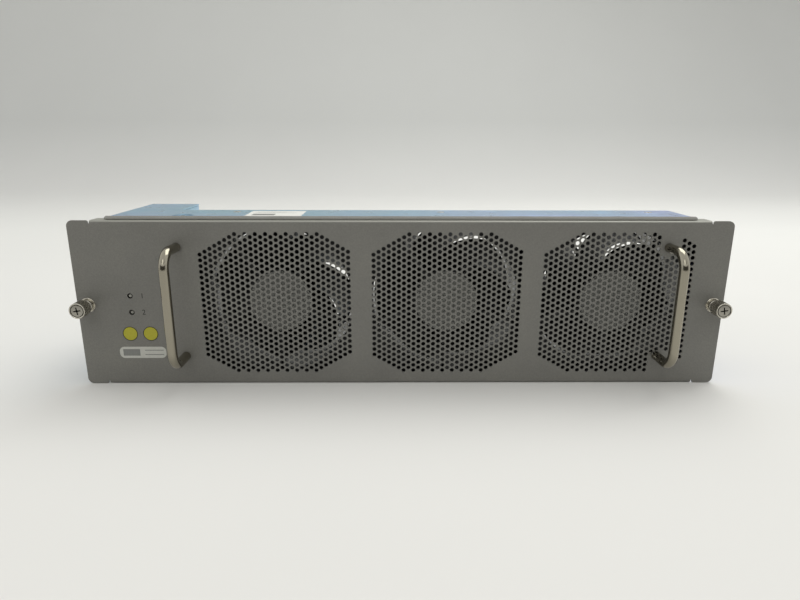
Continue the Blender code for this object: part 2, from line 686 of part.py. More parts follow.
def make_top_cover():
    bm = bmesh.new()
    inner_half = BODY_WIDTH / 2 - BODY_BEND_RADIUS
    outline = tray_outline(inner_half, LIP_END + JOGGLE_RUN)
    edges = flat_face(bm, [(x, y, COVER_TOP) for x, y in outline])
    lip = run_on(bm, edges[0], (0, -JOGGLE_RUN, COVER_LIP_TOP - COVER_TOP))
    run_on(bm, lip, (0, BODY_FRONT - LIP_END, 0))
    drop = (0, 0, BODY_BEND_RADIUS - COVER_SKIRT)
    centre_z = COVER_TOP - BODY_BEND_RADIUS
    for edge, middle_x, axis in ((edges[1], inner_half, (0, 1, 0)), (edges[5], -inner_half, (0, -1, 0))):
        brow = fold(bm, edge, (middle_x, 0, centre_z), axis)
        run_on(bm, front_edge(bm, brow, run_on(bm, brow, drop)), (0, SIDE_RUN_ON, 0))
    cover = sheet("top_cover", bm, (0, 0, 1), BODY_SHEET, ZINC_PLATE)
    lean = (DISH_RADIUS - DISH_FLOOR_RADIUS) / DISH_DEPTH
    under = DISH_FLOOR_Z - BODY_SHEET
    cup_height = COVER_TOP - BODY_SHEET / 2 - under
    cup_foot = DISH_FLOOR_RADIUS + BODY_SHEET
    cup = rod("dish_cup", cup_foot, (DISH_X, DISH_Y, under), cup_height, UPRIGHT, 24, cup_foot + lean * cup_height)
    unite(cover, cup)
    dish_height = DISH_DEPTH + CUT_MARGIN
    dish = rod("dish_cut", DISH_FLOOR_RADIUS, (DISH_X, DISH_Y, DISH_FLOOR_Z), dish_height, UPRIGHT, 24,
               DISH_FLOOR_RADIUS + lean * dish_height)
    hole = rod("dish_hole", COVER_SCREW_RADIUS + HOLE_CLEARANCE, (DISH_X, DISH_Y, under - CUT_MARGIN),
               BODY_SHEET + 2 * CUT_MARGIN, UPRIGHT)
    cut(cover, dish, hole)
    for x in COVER_SCREW_X:
        rim = COVER_SCREW_HEAD_RADIUS + HOLE_CLEARANCE
        height = BODY_SHEET + 2 * CUT_MARGIN
        bottom = COVER_UNDER - CUT_MARGIN
        sink = rod("countersink", rim - (COVER_TOP - bottom), (x, BODY_REAR - COVER_SCREW_INSET, bottom), height,
                   UPRIGHT, 12, rim + CUT_MARGIN)
        cut(cover, sink)


# Rear plate: carries the fans round three inlets, with a flange along its top and bottom

def make_rear_plate():
    bm = bmesh.new()
    left = BAY_X + SEAT_GAP
    right = WALL_INNER_X - SEAT_GAP
    low = INNER_FLOOR + BODY_BEND_RADIUS
    high = INNER_ROOF - BODY_BEND_RADIUS
    edges = flat_face(bm, [(left, BODY_REAR, low), (right, BODY_REAR, low), (right, BODY_REAR, high),
                           (left, BODY_REAR, high)])
    flange = (0, BODY_BEND_RADIUS - REAR_FLANGE, 0)
    centre_y = BODY_REAR - BODY_BEND_RADIUS
    bottom = fold(bm, edges[0], (0, centre_y, low), (-1, 0, 0))
    run_on(bm, bottom, flange)
    top = fold(bm, edges[2], (0, centre_y, high), (1, 0, 0))
    run_on(bm, top, flange)
    rear = sheet("rear_plate", bm, (0, 1, 0), BODY_SHEET, ZINC_PLATE)
    start = REAR_PLATE_FRONT - CUT_MARGIN
    length = BODY_SHEET + 2 * CUT_MARGIN
    punches = []
    for fan_x in FAN_X:
        punches.append(rod("inlet", FAN_BORE_RADIUS, (fan_x, start, MIDDLE_Z), length, sides=FAN_SIDES))
        for side_x, side_z in CORNERS:
            place = (fan_x + side_x * FAN_SCREW_SPACING / 2, start, MIDDLE_Z + side_z * FAN_SCREW_SPACING / 2)
            punches.append(rod("fan_screw_hole", FAN_SCREW_HOLE_RADIUS, place, length, sides=8))
    for x in COVER_SCREW_X:
        place = (x, BODY_REAR - COVER_SCREW_INSET, INNER_ROOF - BODY_SHEET - CUT_MARGIN)
        punches.append(rod("cover_screw_hole", COVER_SCREW_RADIUS + HOLE_CLEARANCE, place, length, UPRIGHT))
    cut(rear, gang("rear_punches", punches))


# Bay bracket: the bay's side wall and rear wall in one bent sheet, round the rear connector

def make_bay_bracket():
    bm = bmesh.new()
    corner_y = BAY_REAR - BODY_BEND_RADIUS
    start = BODY_REAR + SEAT_GAP
    edges = flat_face(bm, [(BAY_X, start, INNER_FLOOR), (BAY_X, corner_y, INNER_FLOOR),
                           (BAY_X, corner_y, INNER_ROOF), (BAY_X, start, INNER_ROOF)])
    bent = fold(bm, edges[1], (BAY_X - BODY_BEND_RADIUS, corner_y, 0), (0, 0, 1))
    run_on(bm, bent, (-WALL_INNER_X + SEAT_GAP - (BAY_X - BODY_BEND_RADIUS), 0, 0))
    bracket = sheet("bay_bracket", bm, (1, 0, 0), BODY_SHEET, ZINC_PLATE)
    low, high = connector_box()
    window_low = (low[0] - CONNECTOR_SLOT_CLEARANCE, BAY_REAR - BODY_SHEET - CUT_MARGIN, low[2] - CONNECTOR_SLOT_CLEARANCE)
    window_high = (high[0] + CONNECTOR_SLOT_CLEARANCE, BAY_REAR + CUT_MARGIN, high[2] + CONNECTOR_SLOT_CLEARANCE)
    window = block("connector_window", window_low, window_high, CUTTERS)
    hole_place = (BAY_X - BODY_SHEET - CUT_MARGIN, BAY_REAR - LOCATING_HOLE_INSET, INNER_ROOF - LOCATING_HOLE_DROP)
    hole = rod("locating_hole", LOCATING_HOLE_RADIUS, hole_place, BODY_SHEET + 2 * CUT_MARGIN,
               Matrix.Rotation(pi / 2, 4, "Y"))
    cut(bracket, window, hole)


# Partition between the electronics bay and the first fan

def make_partition():
    bm = bmesh.new()
    face_x = PARTITION_X
    front = BODY_FRONT + PARTITION_SETBACK
    rear = REAR_PLATE_FRONT - SEAT_GAP
    low = INNER_FLOOR
    high = PARTITION_TOP - BODY_BEND_RADIUS
    side = [(front, low + LEAD_NOTCH_HEIGHT), (front + LEAD_NOTCH_DEPTH, low + LEAD_NOTCH_HEIGHT),
            (front + LEAD_NOTCH_DEPTH, low + BODY_BEND_RADIUS), (rear - REAR_FLANGE, low + BODY_BEND_RADIUS),
            (rear - REAR_FLANGE, low + REAR_FLANGE), (rear, low + REAR_FLANGE), (rear, high), (front, high)]
    edges = flat_face(bm, [(face_x, y, z) for y, z in side])
    top = fold(bm, edges[6], (face_x - BODY_BEND_RADIUS, 0, high), (0, -1, 0))
    run_on(bm, top, (BODY_BEND_RADIUS - PARTITION_FLANGE, 0, 0))
    bottom = fold(bm, edges[2], (face_x - BODY_BEND_RADIUS, 0, low + BODY_BEND_RADIUS), (0, 1, 0))
    run_on(bm, bottom, (BODY_BEND_RADIUS - PARTITION_FLANGE, 0, 0))
    wall = sheet("bay_partition", bm, (1, 0, 0), BODY_SHEET, ZINC_PLATE)
    cut(wall, rod("dish_screw_hole", COVER_SCREW_RADIUS + HOLE_CLEARANCE,
                  (DISH_X, DISH_Y, PARTITION_TOP - BODY_SHEET - CUT_MARGIN), BODY_SHEET + 2 * CUT_MARGIN, UPRIGHT))


# Cover screws: three countersunk along the rear edge and one pan head in the dish

def make_cover_screws():
    head = COVER_SCREW_HEAD_RADIUS
    shank = COVER_SCREW_RADIUS
    sunk = [(0, 0), (head, 0), (shank, shank - head), (shank, -COVER_SCREW_LENGTH), (0, -COVER_SCREW_LENGTH)]
    for number, x in enumerate(COVER_SCREW_X, 1):
        turned("cover_screw_%d" % number, sunk, (x, BODY_REAR - COVER_SCREW_INSET, COVER_TOP), UPRIGHT, 12,
               material=NICKEL)
    seat = DISH_FLOOR_Z + SEAT_GAP
    top = DISH_SCREW_HEAD_HEIGHT
    pan = [(0, top), (head * 0.6, top), (head, top * 0.5), (head, 0), (shank, 0), (shank, -DISH_SCREW_LENGTH),
           (0, -DISH_SCREW_LENGTH)]
    turned("dish_screw", pan, (DISH_X, DISH_Y, seat), UPRIGHT, 12, material=NICKEL)


# Bow handles and the screws that hold them from inside the panel

def handle_path():
    """The centre line of a handle, from its lower foot to its upper foot, about its own middle."""
    half = HANDLE_HOLE_SPACING / 2
    reach = HANDLE_STANDOFF
    bend = HANDLE_BEND_RADIUS
    lower = [(0, -SEAT_GAP, -half)]
    for step in range(6):
        angle = pi / 2 * step / 5
        lower.append((0, -(reach - bend) - bend * sin(angle), -half + bend * (1 - cos(angle))))
    return lower + [(x, y, -z) for x, y, z in reversed(lower)]


def make_handles():
    half = HANDLE_HOLE_SPACING / 2
    head = HANDLE_SCREW_HEAD_RADIUS
    shank = HANDLE_SCREW_RADIUS
    grip = PANEL_SHEET + SEAT_GAP
    depth = HANDLE_THREAD_DEPTH
    screw = [(0, -depth + 1.0 * MM), (shank, -depth + 1.0 * MM), (shank, grip), (head, grip),
             (head, grip + HANDLE_SCREW_HEAD_HEIGHT * 0.5), (head * 0.6, grip + HANDLE_SCREW_HEAD_HEIGHT),
             (0, grip + HANDLE_SCREW_HEAD_HEIGHT)]
    screw.reverse()
    for side, x in zip(("left", "right"), HANDLE_X):
        middle = (x, FRONT, HANDLE_HOLES_Z[0] + half)
        handle = wire("handle_" + side, handle_path(), HANDLE_BAR_DIAMETER / 2, 4, middle, CHROME)
        for end, z in zip(("lower", "upper"), HANDLE_HOLES_Z):
            cut(handle, rod("handle_thread", shank + HOLE_CLEARANCE, (x, FRONT - depth, z), depth, sides=12))
            turned("handle_%s_screw_%s" % (side, end), screw, (x, FRONT, z), sides=12, material=NICKEL)


# Captive screws: ferrule, spring, thrust washer, knob and stem

def make_captive_screw(side, x):
    axis = (x, FRONT, MIDDLE_Z)
    bore = STEM_RADIUS + HOLE_CLEARANCE
    rear = PANEL_SHEET - FERRULE_SHY
    lip_front = -SEAT_GAP - FERRULE_LIP
    ferrule = [(FERRULE_RADIUS, -FERRULE_FRONT), (FERRULE_RADIUS, lip_front), (FERRULE_LIP_RADIUS, lip_front),
               (FERRULE_LIP_RADIUS, -SEAT_GAP), (FERRULE_RADIUS, -SEAT_GAP), (FERRULE_RADIUS, rear), (bore, rear),
               (bore, -FERRULE_FRONT)]
    turned(side + "_screw_ferrule", ferrule[::-1], axis, sides=16, material=NICKEL)

    front = -KNOB_FRONT
    rim = front + KNOB_LENGTH
    web = front + KNOB_POCKET_DEPTH
    roof = web + KNOB_WEB
    edge = 0.5 * MM
    knob = [(KNOB_RADIUS - edge, front), (KNOB_RADIUS, front + edge), (KNOB_RADIUS, rim - edge),
            (KNOB_RADIUS - edge, rim), (KNOB_CAVITY_RADIUS, rim), (KNOB_CAVITY_RADIUS, roof), (bore, roof),
            (bore, web), (KNOB_POCKET_RADIUS, web), (KNOB_POCKET_RADIUS, front)]
    smooth(turned(side + "_screw_knob", knob[::-1], axis, sides=18, material=NICKEL))

    head_rear = web - SEAT_GAP
    head_front = head_rear - STEM_HEAD_HEIGHT
    head_radius = KNOB_POCKET_RADIUS - HOLE_CLEARANCE
    stem = [(0, head_front), (head_radius, head_front), (head_radius, head_rear), (STEM_RADIUS, head_rear),
            (STEM_RADIUS, STEM_TIP - STEM_POINT), (STEM_RADIUS - STEM_POINT * 0.8, STEM_TIP), (0, STEM_TIP)]
    screw = turned(side + "_screw_stem", stem[::-1], axis, sides=12, material=NICKEL)
    for long_way, (half_x, half_z) in enumerate(((CROSS_LENGTH, CROSS_WIDTH), (CROSS_WIDTH, CROSS_LENGTH))):
        low = (x - half_x / 2, FRONT + head_front - CUT_MARGIN, MIDDLE_Z - half_z / 2)
        high = (x + half_x / 2, FRONT + head_front + CROSS_DEPTH, MIDDLE_Z + half_z / 2)
        cut(screw, block("%s_cross_%d" % (side, long_way), low, high, CUTTERS))

    washer_front = roof + SEAT_GAP
    washer_rear = washer_front + THRUST_WASHER_THICKNESS
    washer = [(THRUST_WASHER_RADIUS, washer_front), (THRUST_WASHER_RADIUS, washer_rear), (bore, washer_rear),
              (bore, washer_front)]
    turned(side + "_screw_washer", washer[::-1], axis, sides=14, material=SPRING_STEEL)

    start = washer_rear + SEAT_GAP + SPRING_WIRE / 2
    end = -FERRULE_FRONT - SEAT_GAP - SPRING_WIRE / 2
    steps = SPRING_TURNS * SPRING_SIDES
    coil = []
    for step in range(steps + 1):
        angle = 2 * pi * step / SPRING_SIDES
        coil.append((SPRING_RADIUS * cos(angle), start + (end - start) * step / steps, SPRING_RADIUS * sin(angle)))
    wire(side + "_screw_spring", coil, SPRING_WIRE / 2, 1, axis, SPRING_STEEL)


# Fans

def fan_frame_mesh():
    """The moulded housing with its front face at y = 0 and its axis through the origin, as one mesh."""
    square = rounded_box(FAN_SIZE, FAN_SIZE, FAN_CORNER_RADIUS)
    half_depth = FAN_FLANGE / 2
    frame = plate("frame_master", [square], "XZ", (0, half_depth, 0), FAN_FLANGE, CUTTERS)
    rear = plate("frame_rear", [square], "XZ", (0, FAN_DEPTH - half_depth, 0), FAN_FLANGE, CUTTERS)
    overlap = FAN_FLANGE / 2
    tunnel = rod("frame_tunnel", FAN_BORE_RADIUS + FAN_TUNNEL_WALL, (0, overlap, 0), FAN_DEPTH - 2 * overlap, sides=FAN_SIDES)
    unite(frame, rear, tunnel)
    through = FAN_DEPTH + 2 * CUT_MARGIN
    punches = [rod("frame_bore", FAN_BORE_RADIUS, (0, -CUT_MARGIN, 0), through, sides=FAN_SIDES)]
    for side_x, side_z in CORNERS:
        place = (side_x * FAN_SCREW_SPACING / 2, -CUT_MARGIN, side_z * FAN_SCREW_SPACING / 2)
        punches.append(rod("frame_hole", FAN_SCREW_HOLE_RADIUS, place, through, sides=8))
    cut(frame, gang("frame_punches", punches))
    mesh = finished_mesh(frame, "fan_frame")
    mesh.transform(frame.matrix_world)
    return mesh


def motor_mount_mesh():
    """The cast carrier that fits the housing's bore: cup, bearing tube and struts."""
    base_rear = MOTOR_FACE_RECESS + MOTOR_BASE_DEPTH
    tube_inner = BEARING_TUBE_RADIUS - BEARING_TUBE_WALL
    floor = MOTOR_FACE_RECESS + 2.0 * MM
    base = [(0, MOTOR_FACE_RECESS), (MOTOR_RADIUS, MOTOR_FACE_RECESS), (MOTOR_RADIUS, base_rear),
            (MOTOR_RADIUS - 2.0 * MM, base_rear), (MOTOR_RADIUS - 2.0 * MM, floor), (BEARING_TUBE_RADIUS, floor),
            (BEARING_TUBE_RADIUS, BEARING_TUBE_END), (tube_inner, BEARING_TUBE_END), (tube_inner, floor), (0, floor)]
    mount = turned("mount_master", base[::-1], (0, 0, 0), sides=20, collection=CUTTERS)
    reach = (FAN_BORE_RADIUS - SEAT_GAP) * cos(pi / FAN_SIDES)
    for number in range(STRUT_COUNT):
        low = (MOTOR_RADIUS - 1.5 * MM, MOTOR_FACE_RECESS + 0.3 * MM, -STRUT_WIDTH / 2)
        high = (reach, MOTOR_FACE_RECESS + 0.3 * MM + STRUT_DEPTH, STRUT_WIDTH / 2)
        strut = block("strut_%d" % number, low, high, CUTTERS)
        turn = Matrix.Rotation(2 * pi * number / STRUT_COUNT + radians(18), 4, "Y")
        strut.matrix_world = turn @ Matrix.Translation(strut.location)
        unite(mount, strut)
    mesh = finished_mesh(mount, "motor_mount")
    mesh.transform(mount.matrix_world)
    return mesh


def blade_surface(bm):
    """One twisted blade as an open sheet: longer round the tip than at the root, and swept forward."""
    root = HUB_RADIUS - 0.8 * MM
    grid = []
    for span in range(BLADE_SPAN_COUNT + 1):
        share = span / BLADE_SPAN_COUNT
        radius = root + (BLADE_TIP_RADIUS - root) * share
        wrap = (BLADE_ROOT_WRAP + (BLADE_TIP_WRAP - BLADE_ROOT_WRAP) * share) / radius
        row = []
        for chord in range(BLADE_CHORD_COUNT + 1):
            along = chord / BLADE_CHORD_COUNT
            angle = -wrap * (along + BLADE_CAMBER * along * (1 - along)) - BLADE_SWEEP * share ** 2
            y = BLADE_FRONT + (BLADE_REAR - BLADE_FRONT) * along
            row.append(bm.verts.new((radius * cos(angle), y, radius * sin(angle))))
        grid.append(row)
    for inner, outer in zip(grid, grid[1:]):
        for near, far, far_out, near_out in zip(inner, inner[1:], outer[1:], outer):
            bm.faces.new((near, far, far_out, near_out))


def impeller_mesh():
    """Hub cup, open at the front, with its blades, about the fan's axis."""
    edge = HUB_EDGE_RADIUS
    rear_inner = HUB_REAR - HUB_WALL
    boss_front = BEARING_TUBE_END + SEAT_GAP
    socket = SHAFT_RADIUS + HOLE_CLEARANCE
    hub = [(HUB_RADIUS - HUB_WALL, HUB_FRONT), (HUB_RADIUS, HUB_FRONT), (HUB_RADIUS, HUB_REAR - edge),
           (HUB_RADIUS - edge * 0.3, HUB_REAR - edge * 0.3), (HUB_RADIUS - edge, HUB_REAR), (0, HUB_REAR),
           (0, HUB_REAR - HUB_WALL), (socket, HUB_REAR - HUB_WALL), (socket, boss_front),
           (HUB_BOSS_RADIUS, boss_front), (HUB_BOSS_RADIUS, rear_inner), (HUB_RADIUS - HUB_WALL, rear_inner)]
    start = hub.index((0, HUB_REAR - HUB_WALL))
    impeller = turned("impeller_master", (hub[start:] + hub[:start])[::-1], (0, 0, 0), sides=24, collection=CUTTERS)
    for number in range(BLADE_COUNT):
        bm = bmesh.new()
        blade_surface(bm)
        bmesh.ops.recalc_face_normals(bm, faces=bm.faces)
        blade = add_object("blade_%d" % number, mesh_from(bm, "blade"), CUTTERS)
        thick = blade.modifiers.new("thickness", "SOLIDIFY")
        thick.thickness = BLADE_THICKNESS
        thick.offset = 0
        thick.use_even_offset = True
        blade.matrix_world = Matrix.Rotation(2 * pi * number / BLADE_COUNT, 4, "Y")
        unite(impeller, blade)
    mesh = finished_mesh(impeller, "impeller")
    mesh.transform(impeller.matrix_world)
    return mesh


def stator_outline():
    """A four-armed lamination stack with curved shoes, round a bearing tube hole."""
    shoe_inner = STATOR_RADIUS - 3.0 * MM
    half_arm = STATOR_ARM_WIDTH / 2
    points = []
    for arm in range(STATOR_ARMS):
        middle = 2 * pi * arm / STATOR_ARMS
        half_shoe = STATOR_SHOE_ANGLE / 2
        arm_angle = half_arm / shoe_inner
        core = BEARING_TUBE_RADIUS + 3.0 * MM
        points.append((core * cos(middle - half_arm / core), core * sin(middle - half_arm / core)))
        points.append((shoe_inner * cos(middle - arm_angle), shoe_inner * sin(middle - arm_angle)))
        points.append((shoe_inner * cos(middle - half_shoe), shoe_inner * sin(middle - half_shoe)))
        for step in range(4):
            angle = middle - half_shoe + STATOR_SHOE_ANGLE * step / 3
            points.append((STATOR_RADIUS * cos(angle), STATOR_RADIUS * sin(angle)))
        points.append((shoe_inner * cos(middle + half_shoe), shoe_inner * sin(middle + half_shoe)))
        points.append((shoe_inner * cos(middle + arm_angle), shoe_inner * sin(middle + arm_angle)))
        points.append((core * cos(middle + half_arm / core), core * sin(middle + half_arm / core)))
    return points


def make_fans():
    meshes = {"frame": fan_frame_mesh(), "motor_mount": motor_mount_mesh(), "impeller": impeller_mesh()}
    for mesh in meshes.values():
        mesh.materials.append(BLACK_PLASTIC)
    inner = BEARING_TUBE_RADIUS - BEARING_TUBE_WALL - SEAT_GAP
    ring = [(inner, 0), (inner, BEARING_WIDTH), (SHAFT_RADIUS + SEAT_GAP, BEARING_WIDTH), (SHAFT_RADIUS + SEAT_GAP, 0)]
    front_bearing = MOTOR_FACE_RECESS + 2.0 * MM + SEAT_GAP
    rear_bearing = BEARING_TUBE_END - BEARING_WIDTH
    stator_start = MOTOR_FACE_RECESS + MOTOR_BASE_DEPTH + 3.0 * MM
    shaft_end = HUB_REAR - HUB_WALL - SEAT_GAP
    for number, fan_x in enumerate(FAN_X, 1):
        name = "fan_%d_" % number
        place = Vector((fan_x, FAN_FRONT, MIDDLE_Z))
        for part, mesh in meshes.items():
            piece = add_object(name + part, mesh, PARTS)
            piece.location = place
            smooth(piece)
        PARTS.objects[name + "impeller"].rotation_euler.y = IMPELLER_TURNS[number - 1]
        shaft = [(0, front_bearing), (SHAFT_RADIUS, front_bearing), (SHAFT_RADIUS, shaft_end), (0, shaft_end)]
        turned(name + "shaft", shaft[::-1], place, sides=10, material=SPRING_STEEL)
        for part, start in (("front_bearing", front_bearing), ("rear_bearing", rear_bearing)):
            turned(name + part, ring[::-1], place + Vector((0, start, 0)), sides=12, material=SPRING_STEEL)
        hole = circle((0, 0), BEARING_TUBE_RADIUS + SEAT_GAP, 12)
        plate(name + "stator", [stator_outline(), hole], "XZ",
              place + Vector((0, stator_start + STATOR_LENGTH / 2, 0)), STATOR_LENGTH, material=MOTOR_STEEL)


# Electronics bay: board on standoffs, lamps, connector, fan header and the fan leads

def connector_box():
    left = BOARD_FACE_X + SEAT_GAP
    rear = BAY_REAR + CONNECTOR_PROUD
    half = CONNECTOR_HEIGHT / 2
    return ((left, rear - CONNECTOR_LENGTH, CONNECTOR_CENTRE_Z - half),
            (left + CONNECTOR_WIDTH, rear, CONNECTOR_CENTRE_Z + half))


def make_connector():
    low, high = connector_box()
    housing = block("connector_housing", low, high, material=CONNECTOR_PLASTIC)
    wall = CONNECTOR_WALL
    cut(housing, block("connector_pocket", (low[0] + wall, high[1] - CONNECTOR_POCKET, low[2] + wall),
                       (high[0] - wall, high[1] + CUT_MARGIN, high[2] - wall), CUTTERS))


def make_board():
    block("controller_board", (BOARD_X, BOARD_FRONT, BOARD_BOTTOM),
          (BOARD_FACE_X, BOARD_REAR, BOARD_BOTTOM + BOARD_HEIGHT), material=BOARD_GREEN)
    length = BOARD_STANDOFF - 2 * SEAT_GAP
    corners = {"lower": (BOARD_FRONT + STANDOFF_INSET, BOARD_BOTTOM + STANDOFF_INSET),
               "upper": (BOARD_REAR - STANDOFF_INSET, BOARD_BOTTOM + BOARD_HEIGHT - STANDOFF_INSET)}
    for level, (y, z) in corners.items():
        rod("board_standoff_" + level, STANDOFF_RADIUS, (-WALL_INNER_X + SEAT_GAP, y, z), length,
            Matrix.Rotation(pi / 2, 4, "Y"), sides=6, collection=PARTS, material=NICKEL)


def make_lamps():
    reach = LAMP_RADIUS + LAMP_BLOCK_MARGIN
    start = FRONT + LAMP_BLOCK_SETBACK
    block("lamp_block", (BOARD_FACE_X + SEAT_GAP, start, min(LAMP_Z) - reach),
          (LAMP_X + reach, start + LAMP_BLOCK_DEPTH, max(LAMP_Z) + reach), material=CONNECTOR_PLASTIC)
    length = LAMP_BLOCK_SETBACK - SEAT_GAP - LAMP_RECESS
    for level, z in zip(("upper", "lower"), LAMP_Z):
        dome = LAMP_RADIUS * 0.35
        pipe = [(0, 0), (LAMP_RADIUS * 0.75, dome * 0.4), (LAMP_RADIUS, dome), (LAMP_RADIUS, length), (0, length)]
        smooth(turned("lamp_pipe_" + level, pipe[::-1], (LAMP_X, FRONT + LAMP_RECESS, z), sides=16,
                      material=CLEAR_LENS))


def header_box():
    low_x = BOARD_FACE_X + SEAT_GAP
    low_y = FRONT + HEADER_SETBACK
    low_z = BOARD_BOTTOM + HEADER_RISE
    return (low_x, low_y, low_z), (low_x + HEADER_WIDTH, low_y + HEADER_LENGTH, low_z + HEADER_HEIGHT)


def make_leads():
    """Each fan's lead runs along the floor in front of the fans, through the notch and up to the header."""
    low, high = header_box()
    block("fan_header", low, high, material=CONNECTOR_PLASTIC)
    floor = BASE_LIP_BOTTOM + BODY_SHEET + LEAD_FLOOR_CLEARANCE + LEAD_RADIUS
    partition_left = PARTITION_X - BODY_SHEET
    for number, fan_x in enumerate(FAN_X, 1):
        lane = FAN_COUNT - number
        z = floor + lane * LEAD_SPACING
        y = FRONT + PANEL_SHEET + LEAD_SPACING * 1.6
        start_x = fan_x - FAN_SIZE / 2 + LEAD_EXIT_INSET
        plug_y = low[1] + HEADER_LENGTH * (number - 0.5) / FAN_COUNT
        plug_z = (low[2] + high[2]) / 2
        route = [(start_x, FAN_FRONT - SEAT_GAP, z), (start_x, FAN_FRONT - LEAD_EXIT_RUN, z),
                 (start_x - LEAD_TURN_RUN, y, z), (partition_left - LEAD_PARTITION_CLEARANCE, y, z),
                 (partition_left - LEAD_BAY_RUN, (y + plug_y) / 2, z + LEAD_BAY_RISE),
                 (high[0] + LEAD_PLUG_RUN, plug_y, (z + low[2]) / 2 + LEAD_PLUG_RISE),
                 (high[0] + LEAD_PLUG_END, plug_y, plug_z), (high[0] + SEAT_GAP, plug_y, plug_z)]
        wire("fan_%d_lead" % number, route, LEAD_RADIUS, 1, (0, 0, 0), LEAD_SLEEVE)


make_front_panel()
make_gasket()
make_tray_base()
make_top_cover()
make_rear_plate()
make_bay_bracket()
make_partition()
make_cover_screws()
make_handles()
make_captive_screw("left", -CAPTIVE_X)
make_captive_screw("right", CAPTIVE_X)
make_fans()
make_connector()
make_board()
make_lamps()
make_leads()
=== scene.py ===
"""A switch's fan tray on pale paper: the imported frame, dressed in the finishes of the real one.

Metres, +X to the right, +Y into the chassis, +Z up. Each section makes one piece or a group of like pieces.
"""

from math import cos, pi, radians, sin, sqrt

import bmesh
import bpy
from mathutils import Matrix, Vector


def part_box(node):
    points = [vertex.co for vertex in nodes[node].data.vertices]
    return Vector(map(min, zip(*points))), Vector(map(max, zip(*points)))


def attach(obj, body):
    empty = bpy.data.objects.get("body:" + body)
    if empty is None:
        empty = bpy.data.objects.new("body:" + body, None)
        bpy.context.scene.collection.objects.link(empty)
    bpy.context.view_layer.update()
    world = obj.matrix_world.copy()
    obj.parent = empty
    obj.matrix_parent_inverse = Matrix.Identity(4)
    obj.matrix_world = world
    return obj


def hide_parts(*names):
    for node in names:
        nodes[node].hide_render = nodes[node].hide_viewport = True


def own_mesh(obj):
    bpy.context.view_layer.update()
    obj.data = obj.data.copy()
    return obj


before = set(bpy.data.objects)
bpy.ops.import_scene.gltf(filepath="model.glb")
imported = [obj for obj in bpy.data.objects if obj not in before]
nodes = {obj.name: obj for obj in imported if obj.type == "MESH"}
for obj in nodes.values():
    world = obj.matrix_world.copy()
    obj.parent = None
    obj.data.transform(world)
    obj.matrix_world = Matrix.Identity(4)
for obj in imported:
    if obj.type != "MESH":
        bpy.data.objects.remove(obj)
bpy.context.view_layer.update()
scene = bpy.context.scene
MM = 0.001


# Camera. It stands about 0.39 m in front of the panel and 0.17 m up, looking 15 degrees down, as the
# photographer held it. Its place was fitted to the panel's corners, its folds and its perforation.

CAMERA_PLACE = Vector((-5.64, -428.42, 167.24)) * MM
YAW, PITCH, ROLL = 0.0108, 0.2682, -0.0029

camera = bpy.data.objects.new("camera", bpy.data.cameras.new("camera"))
scene.collection.objects.link(camera)
scene.camera = camera
camera.data.lens = 26.70
camera.data.sensor_width = 36.0
camera.data.clip_start = 0.01
ahead = Vector((sin(YAW) * cos(PITCH), cos(YAW) * cos(PITCH), -sin(PITCH)))
level = Vector((cos(YAW), -sin(YAW), 0.0))
down = ahead.cross(level)
right = cos(ROLL) * level + sin(ROLL) * down
down = cos(ROLL) * down - sin(ROLL) * level
camera.matrix_world = Matrix.Translation(CAMERA_PLACE) @ Matrix((right, -down, -ahead)).transposed().to_4x4()
scene.view_settings.view_transform = "Standard"


# Studio: one long sheet of matt white paper that curves up behind the tray, under a big soft light and
# even room light. Painted shade: the paper's colour is graded, greyest low in the curve, for the light's
# falloff.

PAPER_SHADE_TONES = ((0.12, "#DDDCD9"), (0.28, "#E4E4E1"), (0.425, "#D9D9D7"), (0.52, "#D0D1CF"), (0.64, "#DDDEDC"))
PAPER_FRONT, PAPER_CURVE_START, PAPER_CURVE_RADIUS, PAPER_HEIGHT = -3.0, 1.30, 0.90, 3.0
PAPER_HALF_WIDTH = 3.5


def linear(colour):
    """The linear values of an sRGB hex colour."""
    shares = [int(colour[start:start + 2], 16) / 255 for start in (1, 3, 5)]
    return tuple(s / 12.92 if s <= 0.04045 else ((s + 0.055) / 1.055) ** 2.4 for s in shares) + (1.0,)


def add(tree, kind, inputs=(), **settings):
    """Adds one node. Each input is a value, an output to link from, or a node for its first output."""
    node = tree.nodes.new(kind)
    for name, value in settings.items():
        setattr(node, name, value)
    for name, value in dict(inputs).items():
        value = value.outputs[0] if isinstance(value, bpy.types.Node) else value
        if isinstance(value, bpy.types.NodeSocket):
            tree.links.new(value, node.inputs[name])
        else:
            node.inputs[name].default_value = value
    return node


def finish(name, constants):
    """A material for one real finish, its tree, its shader with constants set, and Object coordinates."""
    made = bpy.data.materials.new(name)
    made.use_nodes = True
    shader = made.node_tree.nodes["Principled BSDF"]
    for socket, value in constants.items():
        shader.inputs[socket].default_value = value
    here = add(made.node_tree, "ShaderNodeTexCoord").outputs["Object"]
    return made, made.node_tree, shader, here


def feed(shader, sources):
    """Links nodes or their outputs to the sockets of a shader."""
    for socket, source in sources.items():
        source = source.outputs[0] if isinstance(source, bpy.types.Node) else source
        shader.id_data.links.new(source, shader.inputs[socket])


def ramp_between(tree, factor, stops):
    """A colour ramp from (place, hex colour) stops."""
    ramp = add(tree, "ShaderNodeValToRGB", {"Fac": factor})
    while len(ramp.color_ramp.elements) < len(stops):
        ramp.color_ramp.elements.new(0.5)
    for element, (place, colour) in zip(ramp.color_ramp.elements, stops):
        element.position = place
        element.color = linear(colour)
    return ramp


def smooth(mesh, angle):
    """Shades a mesh smooth, but for the edges sharper than an angle."""
    mesh.shade_smooth()
    mesh.set_sharp_from_angle(angle=radians(angle))


